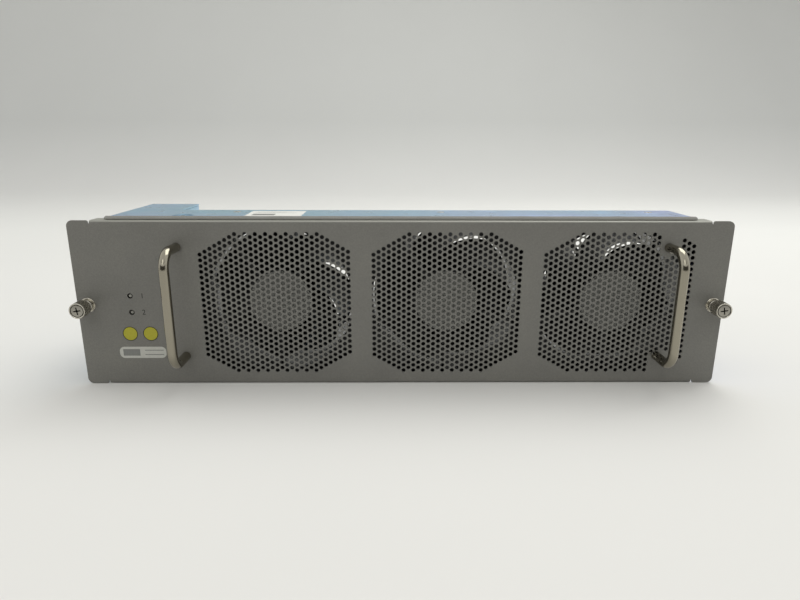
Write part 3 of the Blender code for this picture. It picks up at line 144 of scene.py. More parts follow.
def mesh_of(bm, name, smooth_angle=None, outward=True):
    """The bmesh as a mesh, smooth up to an angle and, unless it is a sheet, with its normals outward."""
    if outward:
        bmesh.ops.recalc_face_normals(bm, faces=bm.faces)
    mesh = bpy.data.meshes.new(name)
    bm.to_mesh(mesh)
    bm.free()
    if smooth_angle is not None:
        smooth(mesh, smooth_angle)
    return mesh


paper_profile = [(PAPER_FRONT, 0.0), (-0.6, 0.0), (0.0, 0.0), (0.6, 0.0)]
for step in range(33):
    angle = pi / 2 * step / 32
    paper_profile.append((PAPER_CURVE_START + PAPER_CURVE_RADIUS * sin(angle),
                          PAPER_CURVE_RADIUS * (1 - cos(angle))))
paper_profile.append((PAPER_CURVE_START + PAPER_CURVE_RADIUS, PAPER_HEIGHT))
bm = bmesh.new()
rows = [[bm.verts.new((x, y, z - 0.1 * MM)) for x in (-PAPER_HALF_WIDTH, 0.0, PAPER_HALF_WIDTH)]
        for y, z in paper_profile]
for near, far in zip(rows, rows[1:]):
    for column in range(2):
        bm.faces.new((near[column], near[column + 1], far[column + 1], far[column]))
paper = bpy.data.objects.new("paper_sweep", mesh_of(bm, "paper_sweep", 60, outward=False))
scene.collection.objects.link(paper)

# Matt uncoated paper: no gloss, and a faint unevenness that the eye reads as paper.
paper_finish, tree, shader, here = finish("matt backdrop paper",
                                          {"Roughness": 0.95, "Specular IOR Level": 0.1})
# Painted shade: the colour follows depth plus height, palest on the floor behind the tray, greyest low in the
# curve, paler up the wall.
split = add(tree, "ShaderNodeSeparateXYZ", {"Vector": here})
reach = add(tree, "ShaderNodeMath", {0: split.outputs["Y"], 1: split.outputs["Z"]}, operation="ADD")
share = add(tree, "ShaderNodeMapRange", {"Value": reach, "From Min": -1.0, "From Max": 5.0})
painted_paper_shade = ramp_between(tree, share, PAPER_SHADE_TONES)
clouds = add(tree, "ShaderNodeTexNoise", {"Vector": here, "Scale": 3.0, "Detail": 4.0})
uneven = add(tree, "ShaderNodeMapRange", {"Value": clouds, "To Min": 0.975, "To Max": 1.02})
toned = add(tree, "ShaderNodeMix", {0: 1.0, 6: painted_paper_shade, 7: uneven}, data_type="RGBA", blend_type="MULTIPLY")
feed(shader, {"Base Color": toned.outputs[2]})
paper.data.materials.append(paper_finish)

world = bpy.data.worlds.new("room light")
world.use_nodes = True
scene.world = world
sky = world.node_tree
towards = add(sky, "ShaderNodeTexCoord")
heading = add(sky, "ShaderNodeSeparateXYZ", {"Vector": towards.outputs["Generated"]})
climb = add(sky, "ShaderNodeMapRange", {"Value": heading.outputs["Z"], "From Min": -1.0})
room = ramp_between(sky, climb, ((0.50, "#E6E6E3"), (0.62, "#EFEFEE"), (0.80, "#F2F2F0"), (1.0, "#E4E4E2")))
behind = ramp_between(sky, climb, ((0.50, "#8C8A85"), (0.53, "#4B4945"), (0.66, "#55534F"),
                                   (0.70, "#FFFFFC"), (0.78, "#B9B9B6"), (1.0, "#E4E4E2")))
side = add(sky, "ShaderNodeMapRange", {"Value": heading.outputs["Y"], "From Min": -0.25, "From Max": -0.7})
whole = add(sky, "ShaderNodeMix", {0: side, 6: room, 7: behind}, data_type="RGBA")
sky.links.new(whole.outputs[2], sky.nodes["Background"].inputs["Color"])
sky.nodes["Background"].inputs["Strength"].default_value = 1.1
for name, place, size, power, colour in (
        ("overhead_softbox", (0.55, 0.65, 1.65), 1.4, 16.0, "#FFFFFC"),
        ("front_fill", (-0.3, -1.7, 1.6), 1.0, 4.0, "#FFFFFC")):
    lamp = bpy.data.lights.new(name, "AREA")
    lamp.shape = "SQUARE"
    lamp.size = size
    lamp.energy = power
    lamp.color = linear(colour)[:3]
    box = bpy.data.objects.new(name, lamp)
    scene.collection.objects.link(box)
    aim = (Vector((0, 0, 0.05)) - Vector(place)).to_track_quat("-Z", "Y")
    box.matrix_world = Matrix.Translation(place) @ aim.to_matrix().to_4x4()


# Front panel: one sheet of 1 mm steel, punched with about two thousand round holes in three eight-sided
# zones, folded back along its top and bottom between two flat ears, then powder-coated warm grey.

PANEL_LOW, PANEL_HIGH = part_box("front_panel")
FRONT = PANEL_LOW.y
HALF_WIDTH = PANEL_HIGH.x
PANEL_TOP = PANEL_HIGH.z
MIDDLE_Z = PANEL_TOP / 2
SHEET = 1.0 * MM
FOLD_HALF = 204.5 * MM
FOLD_RADIUS = 1.8 * MM
FOLD_BACK = PANEL_HIGH.y
NOTCH_WIDTH = 0.9 * MM
NOTCH_DEPTH = 2.0 * MM
EAR_CORNER = 4.0 * MM
HOLE_DIAMETER = 2.9 * MM
HOLE_PITCH = 3.912 * MM
COLUMN_STEP = HOLE_PITCH * sqrt(3) / 2
FAN_X = [-85.2 * MM, 30.0 * MM, 145.2 * MM]
ZONE_LOW, ZONE_MIDDLE, ZONE_HIGH = 9.5 * MM, 57.45 * MM, 105.5 * MM
ZONE_HALF_WIDTH = 49.1 * MM
ZONE_SIDE_HALF, ZONE_CORNER_SLOPE = 36.7 * MM, 0.577
COLUMN_STARTS = (25.2 * MM, 27.156 * MM)
LAMP_X = -183.6 * MM
LAMP_Z = (63.3 * MM, 51.8 * MM)
CAPTIVE_X = 212.2 * MM
LAMP_HOLE_RADIUS, CAPTIVE_HOLE_RADIUS = 1.9 * MM, 4.4 * MM


def put(name, mesh, body, material, stands_for=()):
    """Links a finished mesh as a piece that rides on a body and takes the given finish."""
    mesh.materials.clear()
    mesh.materials.append(material)
    piece = bpy.data.objects.new(name, mesh)
    scene.collection.objects.link(piece)
    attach(piece, body)
    if stands_for:
        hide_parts(*stands_for)
    return piece


def new_tree(name, sockets):
    """An empty Geometry Nodes tree with its named inputs, and its input and output nodes."""
    tree = bpy.data.node_groups.new(name, "GeometryNodeTree")
    tree.interface.new_socket(name="Geometry", in_out="INPUT", socket_type="NodeSocketGeometry")
    for socket, kind in sockets.items():
        tree.interface.new_socket(name=socket, in_out="INPUT", socket_type=kind)
    tree.interface.new_socket(name="Geometry", in_out="OUTPUT", socket_type="NodeSocketGeometry")
    return tree, tree.nodes.new("NodeGroupInput"), tree.nodes.new("NodeGroupOutput")


def pass_on(tree, given, result, geometry):
    """Ends a tree: makes its copies real and gives them its Material."""
    real = add(tree, "GeometryNodeRealizeInstances", {"Geometry": geometry})
    coated = add(tree, "GeometryNodeSetMaterial", {"Geometry": real, "Material": given.outputs["Material"]})
    tree.links.new(coated.outputs[0], result.inputs[0])


def grow(name, mesh, tree, values):
    """Runs a tree over a mesh and gives back the plain mesh that it makes."""
    carrier = bpy.data.objects.new(name, mesh)
    scene.collection.objects.link(carrier)
    growth = carrier.modifiers.new(name, "NODES")
    growth.node_group = tree
    for socket in tree.interface.items_tree:
        if socket.in_out == "INPUT" and socket.name in values:
            growth[socket.identifier] = values[socket.name]
    grown = plain(carrier, name)
    bpy.data.objects.remove(carrier)
    return grown


def plain(thing, name):
    """What an object's modifiers make of it, as a mesh of its own."""
    bpy.context.view_layer.update()
    made = bpy.data.meshes.new_from_object(thing.evaluated_get(bpy.context.evaluated_depsgraph_get()))
    made.name = name
    return made


def changed(mesh, name, changes):
    """A mesh after modifiers, each given as its kind and its settings, as a mesh of its own."""
    carrier = bpy.data.objects.new(name, mesh)
    scene.collection.objects.link(carrier)
    for kind, settings in changes:
        modifier = carrier.modifiers.new(kind, kind)
        for setting, value in settings.items():
            setattr(modifier, setting, value)
    made = plain(carrier, name)
    bpy.data.objects.remove(carrier)
    return made


def softened(width, segments=2, limit=50):
    """The bevel that breaks a mesh's sharp edges."""
    return ("BEVEL",
            {"width": width, "segments": segments, "limit_method": "ANGLE", "angle_limit": radians(limit)})


def ring(centre, radius, count, turn=0.0):
    """Points round a circle in a flat outline's own two directions."""
    return [(centre[0] + radius * cos(turn + 2 * pi * k / count),
             centre[1] + radius * sin(turn + 2 * pi * k / count))
            for k in range(count)]


def punched(bm, outlines, lift):
    """Fills a flat sheet between outlines. lift turns a flat (across, up) point into its place."""
    for outline in outlines:
        verts = [bm.verts.new(lift(*point)) for point in outline]
        for first, second in zip(verts, verts[1:] + verts[:1]):
            bm.edges.new((first, second))
    bmesh.ops.triangle_fill(bm, use_beauty=True, edges=[edge for edge in bm.edges if not edge.link_faces])


def folded_back(bm, z, shortest, centre_y, axis, run):
    """Folds a sheet's long level edge at z through a right angle and carries it straight on by run."""
    edge = next(edge for edge in bm.edges if edge.calc_length() > shortest
                and all(abs(v.co.z - z) < 0.01 * MM for v in edge.verts))
    swept = bmesh.ops.spin(bm, geom=[edge, *edge.verts], cent=(0, centre_y, z), axis=axis, angle=pi / 2,
                           steps=8)
    last = next(item for item in swept["geom_last"] if isinstance(item, bmesh.types.BMEdge))
    grown = bmesh.ops.extrude_edge_only(bm, edges=[last])["geom"]
    bmesh.ops.translate(bm, verts=[item for item in grown if isinstance(item, bmesh.types.BMVert)],
                        vec=(0, run, 0))


def evenly_shaded(mesh, name, smooth_angle):
    """The mesh, smooth up to an angle but with its large flat faces kept flat."""
    smooth(mesh, smooth_angle)
    return changed(mesh, name, [("WEIGHTED_NORMAL", {"keep_sharp": True})])


def thickened(bm, name, thickness, outward):
    """A sheet from its outer surface, given its thickness inwards."""
    bmesh.ops.remove_doubles(bm, verts=bm.verts, dist=0.004 * MM)
    bmesh.ops.recalc_face_normals(bm, faces=bm.faces)
    largest = max(bm.faces, key=lambda face: face.calc_area())
    if largest.normal.dot(Vector(outward)) < 0:
        bmesh.ops.reverse_faces(bm, faces=bm.faces)
    wall = ("SOLIDIFY", {"thickness": thickness, "offset": -1, "use_even_offset": True})
    return evenly_shaded(changed(mesh_of(bm, name, outward=False), name, [wall]), name, 30)


def zone_holes(fan_number, fan_x):
    """The hole centres of one zone: upright columns, every second one half a pitch higher."""
    for column in range(-14, 16):
        across = (column - 0.5) * COLUMN_STEP
        start = COLUMN_STARTS[column % 2]
        for row in range(-6, 24):
            z = start + row * HOLE_PITCH
            wider = HOLE_PITCH if fan_number == 3 and column > 12 else 0.0
            reach = ZONE_SIDE_HALF + ZONE_CORNER_SLOPE * (ZONE_HALF_WIDTH - abs(across)) + wider
            if not ZONE_LOW <= z <= ZONE_HIGH or abs(z - ZONE_MIDDLE) > reach:
                continue
            if fan_number == 3 and 9 <= column <= 12:
                if not (23 if column == 9 else 25) * MM < z < (90 if column in (9, 11) else 88) * MM:
                    continue
            yield fan_x + across, z


holes = [place for number, fan_x in enumerate(FAN_X, 1) for place in zone_holes(number, fan_x)]

# Every hole brings a six-sided cell of sheet round it. The cells meet edge to edge.
tree, given, result = new_tree("punched cells", {
    "Hole Pitch": "NodeSocketFloat", "Hole Diameter": "NodeSocketFloat", "Material": "NodeSocketMaterial"})
cell_radius = add(tree, "ShaderNodeMath", {0: given.outputs["Hole Pitch"], 1: sqrt(3)}, operation="DIVIDE")
hole_radius = add(tree, "ShaderNodeMath", {0: given.outputs["Hole Diameter"], 1: 2.0}, operation="DIVIDE")
cell = add(tree, "GeometryNodeCurvePrimitiveCircle", {"Resolution": 6, "Radius": cell_radius})
hole = add(tree, "GeometryNodeCurvePrimitiveCircle", {"Resolution": 12, "Radius": hole_radius})
both = add(tree, "GeometryNodeJoinGeometry")
tree.links.new(cell.outputs["Curve"], both.inputs[0])
tree.links.new(hole.outputs["Curve"], both.inputs[0])
filled = add(tree, "GeometryNodeFillCurve", {"Curve": both})
cells = add(tree, "GeometryNodeInstanceOnPoints", {"Points": given.outputs["Geometry"], "Instance": filled})
real = add(tree, "GeometryNodeRealizeInstances", {"Geometry": cells})
welded = add(tree, "GeometryNodeMergeByDistance", {"Geometry": real, "Distance": 0.02 * MM})
coated = add(tree, "GeometryNodeSetMaterial", {"Geometry": welded, "Material": given.outputs["Material"]})
tree.links.new(coated.outputs[0], result.inputs[0])

# Powder-coated steel: sprayed and baked, so a fine orange-peel texture breaks up a soft gloss.
panel_finish, look, shader, here = finish("powder-coated steel", {"Roughness": 0.5, "IOR": 1.5})
grain = add(look, "ShaderNodeTexNoise", {"Vector": here, "Scale": 1100.0, "Detail": 2.0})
patches = add(look, "ShaderNodeTexNoise", {"Vector": here, "Scale": 22.0, "Detail": 5.0, "Roughness": 0.6})
tone = ramp_between(look, patches, ((0.30, "#706F6A"), (0.50, "#74736E"), (0.70, "#787771")))
speck = add(look, "ShaderNodeMapRange",
            {"Value": grain, "From Min": 0.3, "From Max": 0.7, "To Min": 0.92, "To Max": 1.08})
mottled = add(look, "ShaderNodeMix", {0: 1.0, 6: tone, 7: speck}, data_type="RGBA", blend_type="MULTIPLY")
gloss = add(look, "ShaderNodeMapRange",
            {"Value": patches, "From Min": 0.3, "From Max": 0.7, "To Min": 0.42, "To Max": 0.52})
peel = add(look, "ShaderNodeBump", {"Height": grain, "Strength": 0.25, "Distance": 0.05 * MM})
height = add(look, "ShaderNodeSeparateXYZ", {"Vector": here})
on_top = add(look, "ShaderNodeMath", {0: height.outputs["Z"], 1: PANEL_TOP - 0.95 * MM},
             operation="GREATER_THAN")
behind = add(look, "ShaderNodeMath", {0: height.outputs["Y"], 1: FRONT + 0.25 * MM}, operation="GREATER_THAN")
masked = add(look, "ShaderNodeMath", {0: on_top, 1: behind}, operation="MULTIPLY")
bare = add(look, "ShaderNodeRGB")
bare.outputs[0].default_value = linear("#95958D")
coat = add(look, "ShaderNodeMix", {0: masked, 6: mottled.outputs[2], 7: bare}, data_type="RGBA")
feed(shader, {"Base Color": coat.outputs[2]})
shine = add(look, "ShaderNodeMath", {0: masked, 1: 0.3}, operation="MULTIPLY")
feed(shader, {"Metallic": shine, "Roughness": gloss, "Normal": peel})

centres = bpy.data.meshes.new("hole centres")
centres.from_pydata([(x, z, 0.0) for x, z in holes], [], [])
cell_mesh = grow("punched_cells", centres, tree, {
    "Hole Pitch": HOLE_PITCH, "Hole Diameter": HOLE_DIAMETER, "Material": panel_finish})


def cell_union_outlines():
    """The closed zigzag outlines round the cells of each zone."""
    sides = {}
    radius = HOLE_PITCH / sqrt(3)
    for x, z in holes:
        corners = [(round((x + radius * cos(k * pi / 3)) / MM, 2),
                    round((z + radius * sin(k * pi / 3)) / MM, 2))
                   for k in range(6)]
        for first, second in zip(corners, corners[1:] + corners[:1]):
            key = (min(first, second), max(first, second))
            sides[key] = sides.get(key, 0) + 1
    following = {}
    for (first, second), count in sides.items():
        if count == 1:
            following.setdefault(first, []).append(second)
            following.setdefault(second, []).append(first)
    outlines = []
    while following:
        start = next(iter(following))
        outline = [start]
        here = start
        while following.get(here):
            there = following[here].pop()
            following[there].remove(here)
            for point in (here, there):
                if not following.get(point):
                    following.pop(point, None)
            outline.append(there)
            here = there
        outlines.append([(x * MM, z * MM) for x, z in outline[:-1]])
    return outlines


corner = [(HALF_WIDTH - EAR_CORNER * (1 - sin(pi / 2 * k / 8)),
           PANEL_TOP - EAR_CORNER * (1 - cos(pi / 2 * k / 8)))
          for k in range(9)]
quarter = [(FOLD_HALF, PANEL_TOP - FOLD_RADIUS), (FOLD_HALF, PANEL_TOP - NOTCH_DEPTH),
           (FOLD_HALF + NOTCH_WIDTH, PANEL_TOP - NOTCH_DEPTH),
           (FOLD_HALF + NOTCH_WIDTH, PANEL_TOP - 0.9 * MM),
           (FOLD_HALF + NOTCH_WIDTH + 0.3 * MM, PANEL_TOP - 0.3 * MM),
           (FOLD_HALF + NOTCH_WIDTH + 1.0 * MM, PANEL_TOP)] + corner
right_side = quarter + [(x, PANEL_TOP - z) for x, z in reversed(quarter)]
panel_outline = right_side + [(-x, PANEL_TOP - z) for x, z in right_side]
openings = [ring((LAMP_X, z), LAMP_HOLE_RADIUS, 32) for z in LAMP_Z]
openings += [ring((side * CAPTIVE_X, MIDDLE_Z), CAPTIVE_HOLE_RADIUS, 32) for side in (-1, 1)]
bm = bmesh.new()
punched(bm, [panel_outline, *openings, *cell_union_outlines()], lambda x, z: (x, FRONT, z))
for z, axis in ((PANEL_TOP - FOLD_RADIUS, (-1, 0, 0)), (FOLD_RADIUS, (1, 0, 0))):
    folded_back(bm, z, FOLD_HALF, FRONT + FOLD_RADIUS, axis, FOLD_BACK - FRONT - FOLD_RADIUS)
cell_mesh.transform(Matrix(((1, 0, 0, 0), (0, 0, 1, FRONT), (0, 1, 0, 0), (0, 0, 0, 1))))
bm.from_mesh(cell_mesh)
put("front_panel_skin", thickened(bm, "front_panel_skin", SHEET, (0, -1, 0)), "tray", panel_finish,
    ["front_panel"])


# Gasket: a D-shaped foam strip in a woven conductive cloth, stuck along the panel's folded top edge so
# that the tray seals against the chassis. It is cut off square a little short of the ears.

GASKET_LOW, GASKET_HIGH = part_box("gasket_strip")
STATIONS = 160


def skin(bm, rings, capped=False):
    """Faces between closed rings of vertices, one ring after another, and over the ends if asked."""
    for near, far in zip(rings, rings[1:]):
        for k in range(len(near)):
            bm.faces.new((near[k - 1], near[k], far[k], far[k - 1]))
    if capped:
        bm.faces.new(rings[0])
        bm.faces.new(rings[-1])


gasket_half = (GASKET_HIGH.y - GASKET_LOW.y) / 2
gasket_y = (GASKET_HIGH.y + GASKET_LOW.y) / 2
gasket_rise = GASKET_HIGH.z - GASKET_LOW.z
section = [(-gasket_half + 0.2 * MM, 0.0), (gasket_half - 0.2 * MM, 0.0), (gasket_half, 0.2 * MM)]
for step in range(13):
    angle = pi * step / 12
    section.append((gasket_half * cos(angle), gasket_rise * (0.4 + 0.6 * sin(angle))))
section.append((-gasket_half, 0.2 * MM))
bm = bmesh.new()
rows = []
for station in range(STATIONS + 1):
    x = GASKET_LOW.x + (GASKET_HIGH.x - GASKET_LOW.x) * station / STATIONS
    sag = 1.0 - 0.05 * (0.5 + 0.5 * sin(station * 0.71) * sin(station * 0.23 + 1.0))
    rows.append([bm.verts.new((x, gasket_y + across,
                               GASKET_LOW.z + up * (sag if up > gasket_rise * 0.3 else 1.0)))
                 for across, up in section])
skin(bm, rows, capped=True)

# Nickel-coated ripstop cloth: matt grey with a slight metal glint, its threads drawn at 0.9 mm, coarser
# than the real 0.2 mm, so that they show.
gasket_finish, look, shader, here = finish("conductive woven cloth", {"Metallic": 0.0, "Roughness": 0.7})
warp = add(look, "ShaderNodeTexWave", {"Vector": here, "Scale": 350.0}, bands_direction="X")
weft = add(look, "ShaderNodeTexWave", {"Vector": here, "Scale": 350.0}, bands_direction="Y")
weave = add(look, "ShaderNodeMath", {0: warp.outputs["Fac"], 1: weft.outputs["Fac"]}, operation="MULTIPLY")
soil = add(look, "ShaderNodeTexNoise", {"Vector": here, "Scale": 60.0, "Detail": 4.0})
shade = add(look, "ShaderNodeMath", {0: weave, 1: soil}, operation="MULTIPLY_ADD")
shade.inputs[2].default_value = 0.25
tone = ramp_between(look, shade, ((0.2, "#6C6B67"), (0.6, "#85847F"), (0.95, "#94938D")))
threads = add(look, "ShaderNodeBump", {"Height": weave, "Strength": 0.4, "Distance": 0.1 * MM})
# Painted light: the strip's colour is doubled at its foot and eases back to its own tone 1.5 mm up,
# lightening its shaded lower front side.
height = add(look, "ShaderNodeSeparateXYZ", {"Vector": here})
painted_light_at_base = add(look, "ShaderNodeMapRange", {"Value": height.outputs["Z"], "From Min": GASKET_LOW.z + 0.2 * MM,
                                        "From Max": GASKET_LOW.z + 1.5 * MM,
                                        "To Min": 2.0, "To Max": 1.0})
gasket_with_painted_light = add(look, "ShaderNodeMix", {0: 1.0, 6: tone, 7: painted_light_at_base}, data_type="RGBA", blend_type="MULTIPLY")
feed(shader, {"Base Color": gasket_with_painted_light.outputs[2], "Normal": threads})
put("gasket_cloth", mesh_of(bm, "gasket_cloth", 40), "tray", gasket_finish, ["gasket_strip"])


# Printed marks: two plain yellow dots with a dark rim, a number beside each lamp and a white film label
# with round ends. All are thin film or ink on the panel's face, and carry nothing else.

YELLOW_DOTS = ((-186.3 * MM, 36.6 * MM), (-172.4 * MM, 36.6 * MM))
DOT_RADIUS = 5.1 * MM
LABEL_CENTRE = (-179.0 * MM, 23.0 * MM)
LABEL_SIZE = (32.0 * MM, 8.2 * MM)
NUMERAL_X = -176.6 * MM
NUMERAL_HEIGHT = 3.6 * MM
FILM = 0.10 * MM
INK = 0.03 * MM


def pill(centre, size, radius, steps=8):
    """The outline of a plate with round corners."""
    points = []
    for quarter, (side_x, side_z) in enumerate(((1, 1), (-1, 1), (-1, -1), (1, -1))):
        for step in range(steps + 1):
            angle = pi / 2 * (quarter + step / steps)
            points.append((centre[0] + side_x * (size[0] / 2 - radius) + radius * cos(angle),
                           centre[1] + side_z * (size[1] / 2 - radius) + radius * sin(angle)))
    return points


def on_panel(outlines, thickness, base=0.0):
    """A thin film on the panel's front face, base above it."""
    bm = bmesh.new()
    punched(bm, outlines, lambda x, z: (x, FRONT - base - thickness, z))
    return thickened(bm, "film", thickness - 0.004 * MM, (0, -1, 0))


def print_finish(name, colour, roughness):
    """Film or screen ink: even colour with the panel's peel showing through it."""
    made, look, shader, here = finish(name, {"Roughness": roughness})
    specks = add(look, "ShaderNodeTexNoise", {"Vector": here, "Scale": 700.0, "Detail": 3.0})
    even = add(look, "ShaderNodeMapRange", {"Value": specks, "To Min": 0.9, "To Max": 1.1})
    base = add(look, "ShaderNodeRGB")
    base.outputs[0].default_value = linear(colour)
    toned = add(look, "ShaderNodeMix", {0: 1.0, 6: base, 7: even}, data_type="RGBA", blend_type="MULTIPLY")
    feed(shader, {"Base Color": toned.outputs[2]})
    return made


black_ink = print_finish("black screen ink", "#161512", 0.6)
yellow_film = print_finish("yellow vinyl film", "#ABA627", 0.45)
white_film = print_finish("white polyester film", "#BDBDB6", 0.4)
grey_ink = print_finish("grey label ink", "#7E7F7C", 0.6)
for number, centre in enumerate(YELLOW_DOTS, 1):
    put("yellow_dot_%d" % number, on_panel([ring(centre, DOT_RADIUS, 64)], FILM), "tray", yellow_film)
    put("yellow_dot_%d_rim" % number,
        on_panel([ring(centre, DOT_RADIUS, 64), ring(centre, DOT_RADIUS - 0.45 * MM, 64)], INK, FILM),
        "tray", black_ink)
put("serial_label", on_panel([pill(LABEL_CENTRE, LABEL_SIZE, 3.4 * MM)], FILM), "tray", white_film)
label_fields = [((-186.8 * MM, 23.0 * MM), (11.6 * MM, 4.8 * MM)),
                ((-171.2 * MM, 24.6 * MM), (13.0 * MM, 0.6 * MM)),
                ((-171.2 * MM, 21.4 * MM), (13.0 * MM, 0.6 * MM))]
for number, (centre, size) in enumerate(label_fields, 1):
    put("serial_label_field_%d" % number, on_panel([pill(centre, size, 0.2 * MM, 2)], INK, FILM), "tray",
        grey_ink)
for number, z in enumerate(LAMP_Z, 1):
    writing = bpy.data.curves.new("numeral", "FONT")
    writing.body = str(number)
    writing.size = NUMERAL_HEIGHT / 0.73
    writing.align_x = "LEFT"
    writing.align_y = "CENTER"
    holder = bpy.data.objects.new("numeral", writing)
    scene.collection.objects.link(holder)
    flat = plain(holder, "numeral")
    bpy.data.objects.remove(holder)
    flat.transform(Matrix(((1, 0, 0, NUMERAL_X), (0, 0, 1, FRONT - INK), (0, 1, 0, z), (0, 0, 0, 1))))
    bm = bmesh.new()
    bm.from_mesh(flat)
    put("lamp_number_%d" % number, thickened(bm, "lamp_number", INK - 0.004 * MM, (0, -1, 0)), "tray",
        black_ink)


# Status lamps: two clear light pipes that end in small domes, set back a little in the panel's holes.
# They carry light from the board behind, and stand dark here.


def lathe(bm, profile, place, turn, segments=48, closed=False):
    """Turns a profile of (radius, along) round its axis. A closed profile makes a ring."""
    start = len(bm.verts)
    rings = []
    for radius, along in profile:
        if radius < 1e-7:
            rings.append([bm.verts.new((0, 0, along))] * segments)
        else:
            rings.append([bm.verts.new((radius * cos(2 * pi * k / segments),
                                        radius * sin(2 * pi * k / segments), along))
                          for k in range(segments)])
    pairs = list(zip(rings, rings[1:])) + ([(rings[-1], rings[0])] if closed else [])
    for near, far in pairs:
        for k in range(segments):
            corners = []
            for vert in (near[k - 1], near[k], far[k], far[k - 1]):
                if vert not in corners:
                    corners.append(vert)
            if len(corners) > 2:
                bm.faces.new(corners)
    bm.verts.ensure_lookup_table()
    bmesh.ops.transform(bm, matrix=Matrix.Translation(place) @ turn, verts=bm.verts[start:])


ALONG_Y = Matrix.Rotation(-pi / 2, 4, "X")


def turned(name, profile, place, segments, smooth_angle, closed=False, turn=ALONG_Y):
    """A mesh turned from one profile, its axis along Y unless a matrix turns it otherwise."""
    bm = bmesh.new()
    lathe(bm, profile, place, turn, segments, closed)
    return mesh_of(bm, name, smooth_angle)


# Clear polycarbonate, glossy but drawn opaque: its grey colour is painted shade for the unlit board behind
# it.
lens_finish, look, shader, here = finish("clear polycarbonate lens",
                                         {"Roughness": 0.12, "IOR": 1.58, "Coat Weight": 0.4})
cloud = add(look, "ShaderNodeTexNoise", {"Vector": here, "Scale": 900.0})
tone = ramp_between(look, cloud, ((0.35, "#76766F"), (0.65, "#9A9A92")))
feed(shader, {"Base Color": tone})
for level_name, z in zip(("upper", "lower"), LAMP_Z):
    dome = [(0.0, 0.35 * MM)]
    dome += [(1.15 * MM * sin(pi / 2 * k / 6), 0.35 * MM + 0.5 * MM * (1 - cos(pi / 2 * k / 6)))
             for k in range(1, 7)]
    dome += [(1.15 * MM, 3.0 * MM), (1.5 * MM, 3.0 * MM), (1.5 * MM, 13.4 * MM), (0.0, 13.4 * MM)]
    put("lamp_lens_" + level_name, turned("lamp_lens", dome, (LAMP_X, FRONT, z), 32, 50), "tray", lens_finish,
        ["lamp_pipe_" + level_name])


# Bow handles: quarter-inch steel rod, bent twice on an 11 mm radius, polished and chrome plated. Each foot is
# tapped, and a screw from inside the panel draws it down flat on the paint.

HANDLE_X = (-149.3 * MM, 177.4 * MM)
HANDLE_FEET_Z = (20.5 * MM, 96.7 * MM)
HANDLE_REACH = 24.8 * MM
HANDLE_BEND = 11.0 * MM
HANDLE_RADIUS = 3.175 * MM


def tube(bm, points, radius, sides, edge=0.0):
    """A round bar along a line of points, with its ends filled and, if asked, their edges broken."""
    points = [Vector(point) for point in points]
    normal = (points[1] - points[0]).orthogonal().normalized()
    rings = []
    for k, point in enumerate(points):
        along = (points[min(k + 1, len(points) - 1)] - points[max(k - 1, 0)]).normalized()
        normal = (normal - along * normal.dot(along)).normalized()
        other = along.cross(normal)
        rings.append([point + (normal * cos(2 * pi * s / sides) + other * sin(2 * pi * s / sides)) * radius
                      for s in range(sides)])
    if edge:
        for index in (0, -1):
            middle = points[index]
            following = points[1] if index == 0 else points[-2]
            step = (following - middle).normalized() * edge
            outer = [place + step for place in rings[index]]
            inner = [middle + (place - middle) * (1 - edge / radius) for place in rings[index]]
            if index == 0:
                rings[0:1] = [inner, outer]
            else:
                rings[-1:] = [outer, inner]
    made = [[bm.verts.new(place) for place in places] for places in rings]
    skin(bm, made, capped=True)


# Bright chrome: a near mirror, with faint hairlines and smudges from fingers.
chrome_finish, look, shader, here = finish(
    "bright chrome plate", {"Base Color": linear("#979284"), "Metallic": 1.0, "Roughness": 0.08})
smudge = add(look, "ShaderNodeTexNoise", {"Vector": here, "Scale": 120.0, "Detail": 4.0})
stroke_place = add(look, "ShaderNodeMapping", {"Vector": here, "Scale": (2600.0, 2600.0, 60.0)})
stroke = add(look, "ShaderNodeTexNoise", {"Vector": stroke_place, "Scale": 1.0, "Detail": 2.0})
gloss = add(look, "ShaderNodeMapRange",
            {"Value": smudge, "From Min": 0.35, "From Max": 0.7, "To Min": 0.06, "To Max": 0.17})
lines = add(look, "ShaderNodeBump", {"Height": stroke, "Strength": 0.04, "Distance": 0.02 * MM})
feed(shader, {"Roughness": gloss, "Normal": lines})

for side, x in zip(("left", "right"), HANDLE_X):
    low, high = HANDLE_FEET_Z
    route = [(x, FRONT - 0.3 * MM, low), (x, FRONT - (HANDLE_REACH - HANDLE_BEND) * 0.5, low)]
    for k in range(17):
        angle = pi / 2 * k / 16
        route.append((x, FRONT - (HANDLE_REACH - HANDLE_BEND) - HANDLE_BEND * sin(angle),
                      low + HANDLE_BEND * (1 - cos(angle))))
    route += [(x, y, low + high - z) for _, y, z in reversed(route)]
    bm = bmesh.new()
    tube(bm, route, HANDLE_RADIUS, 40, 0.35 * MM)
    put("bow_handle_" + side, mesh_of(bm, "bow_handle", 40), "tray", chrome_finish,
        ["handle_" + side])


# Captive screws: a nickel-plated ferrule pressed into each ear, a spring, and a knurled thumb knob with a
# cross-recessed screw pressed into it. The spring holds the knob out until the screw finds its thread.

KNOB_LOW, KNOB_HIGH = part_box("left_screw_knob")
STEM_LOW, STEM_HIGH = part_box("left_screw_stem")
WASHER_LOW, WASHER_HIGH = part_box("left_screw_washer")
FERRULE_LOW, FERRULE_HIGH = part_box("left_screw_ferrule")
KNOB_RADIUS = (KNOB_HIGH.z - KNOB_LOW.z) / 2
KNURL_COUNT = 60
KNOB_SETBACK = 1.4 * MM


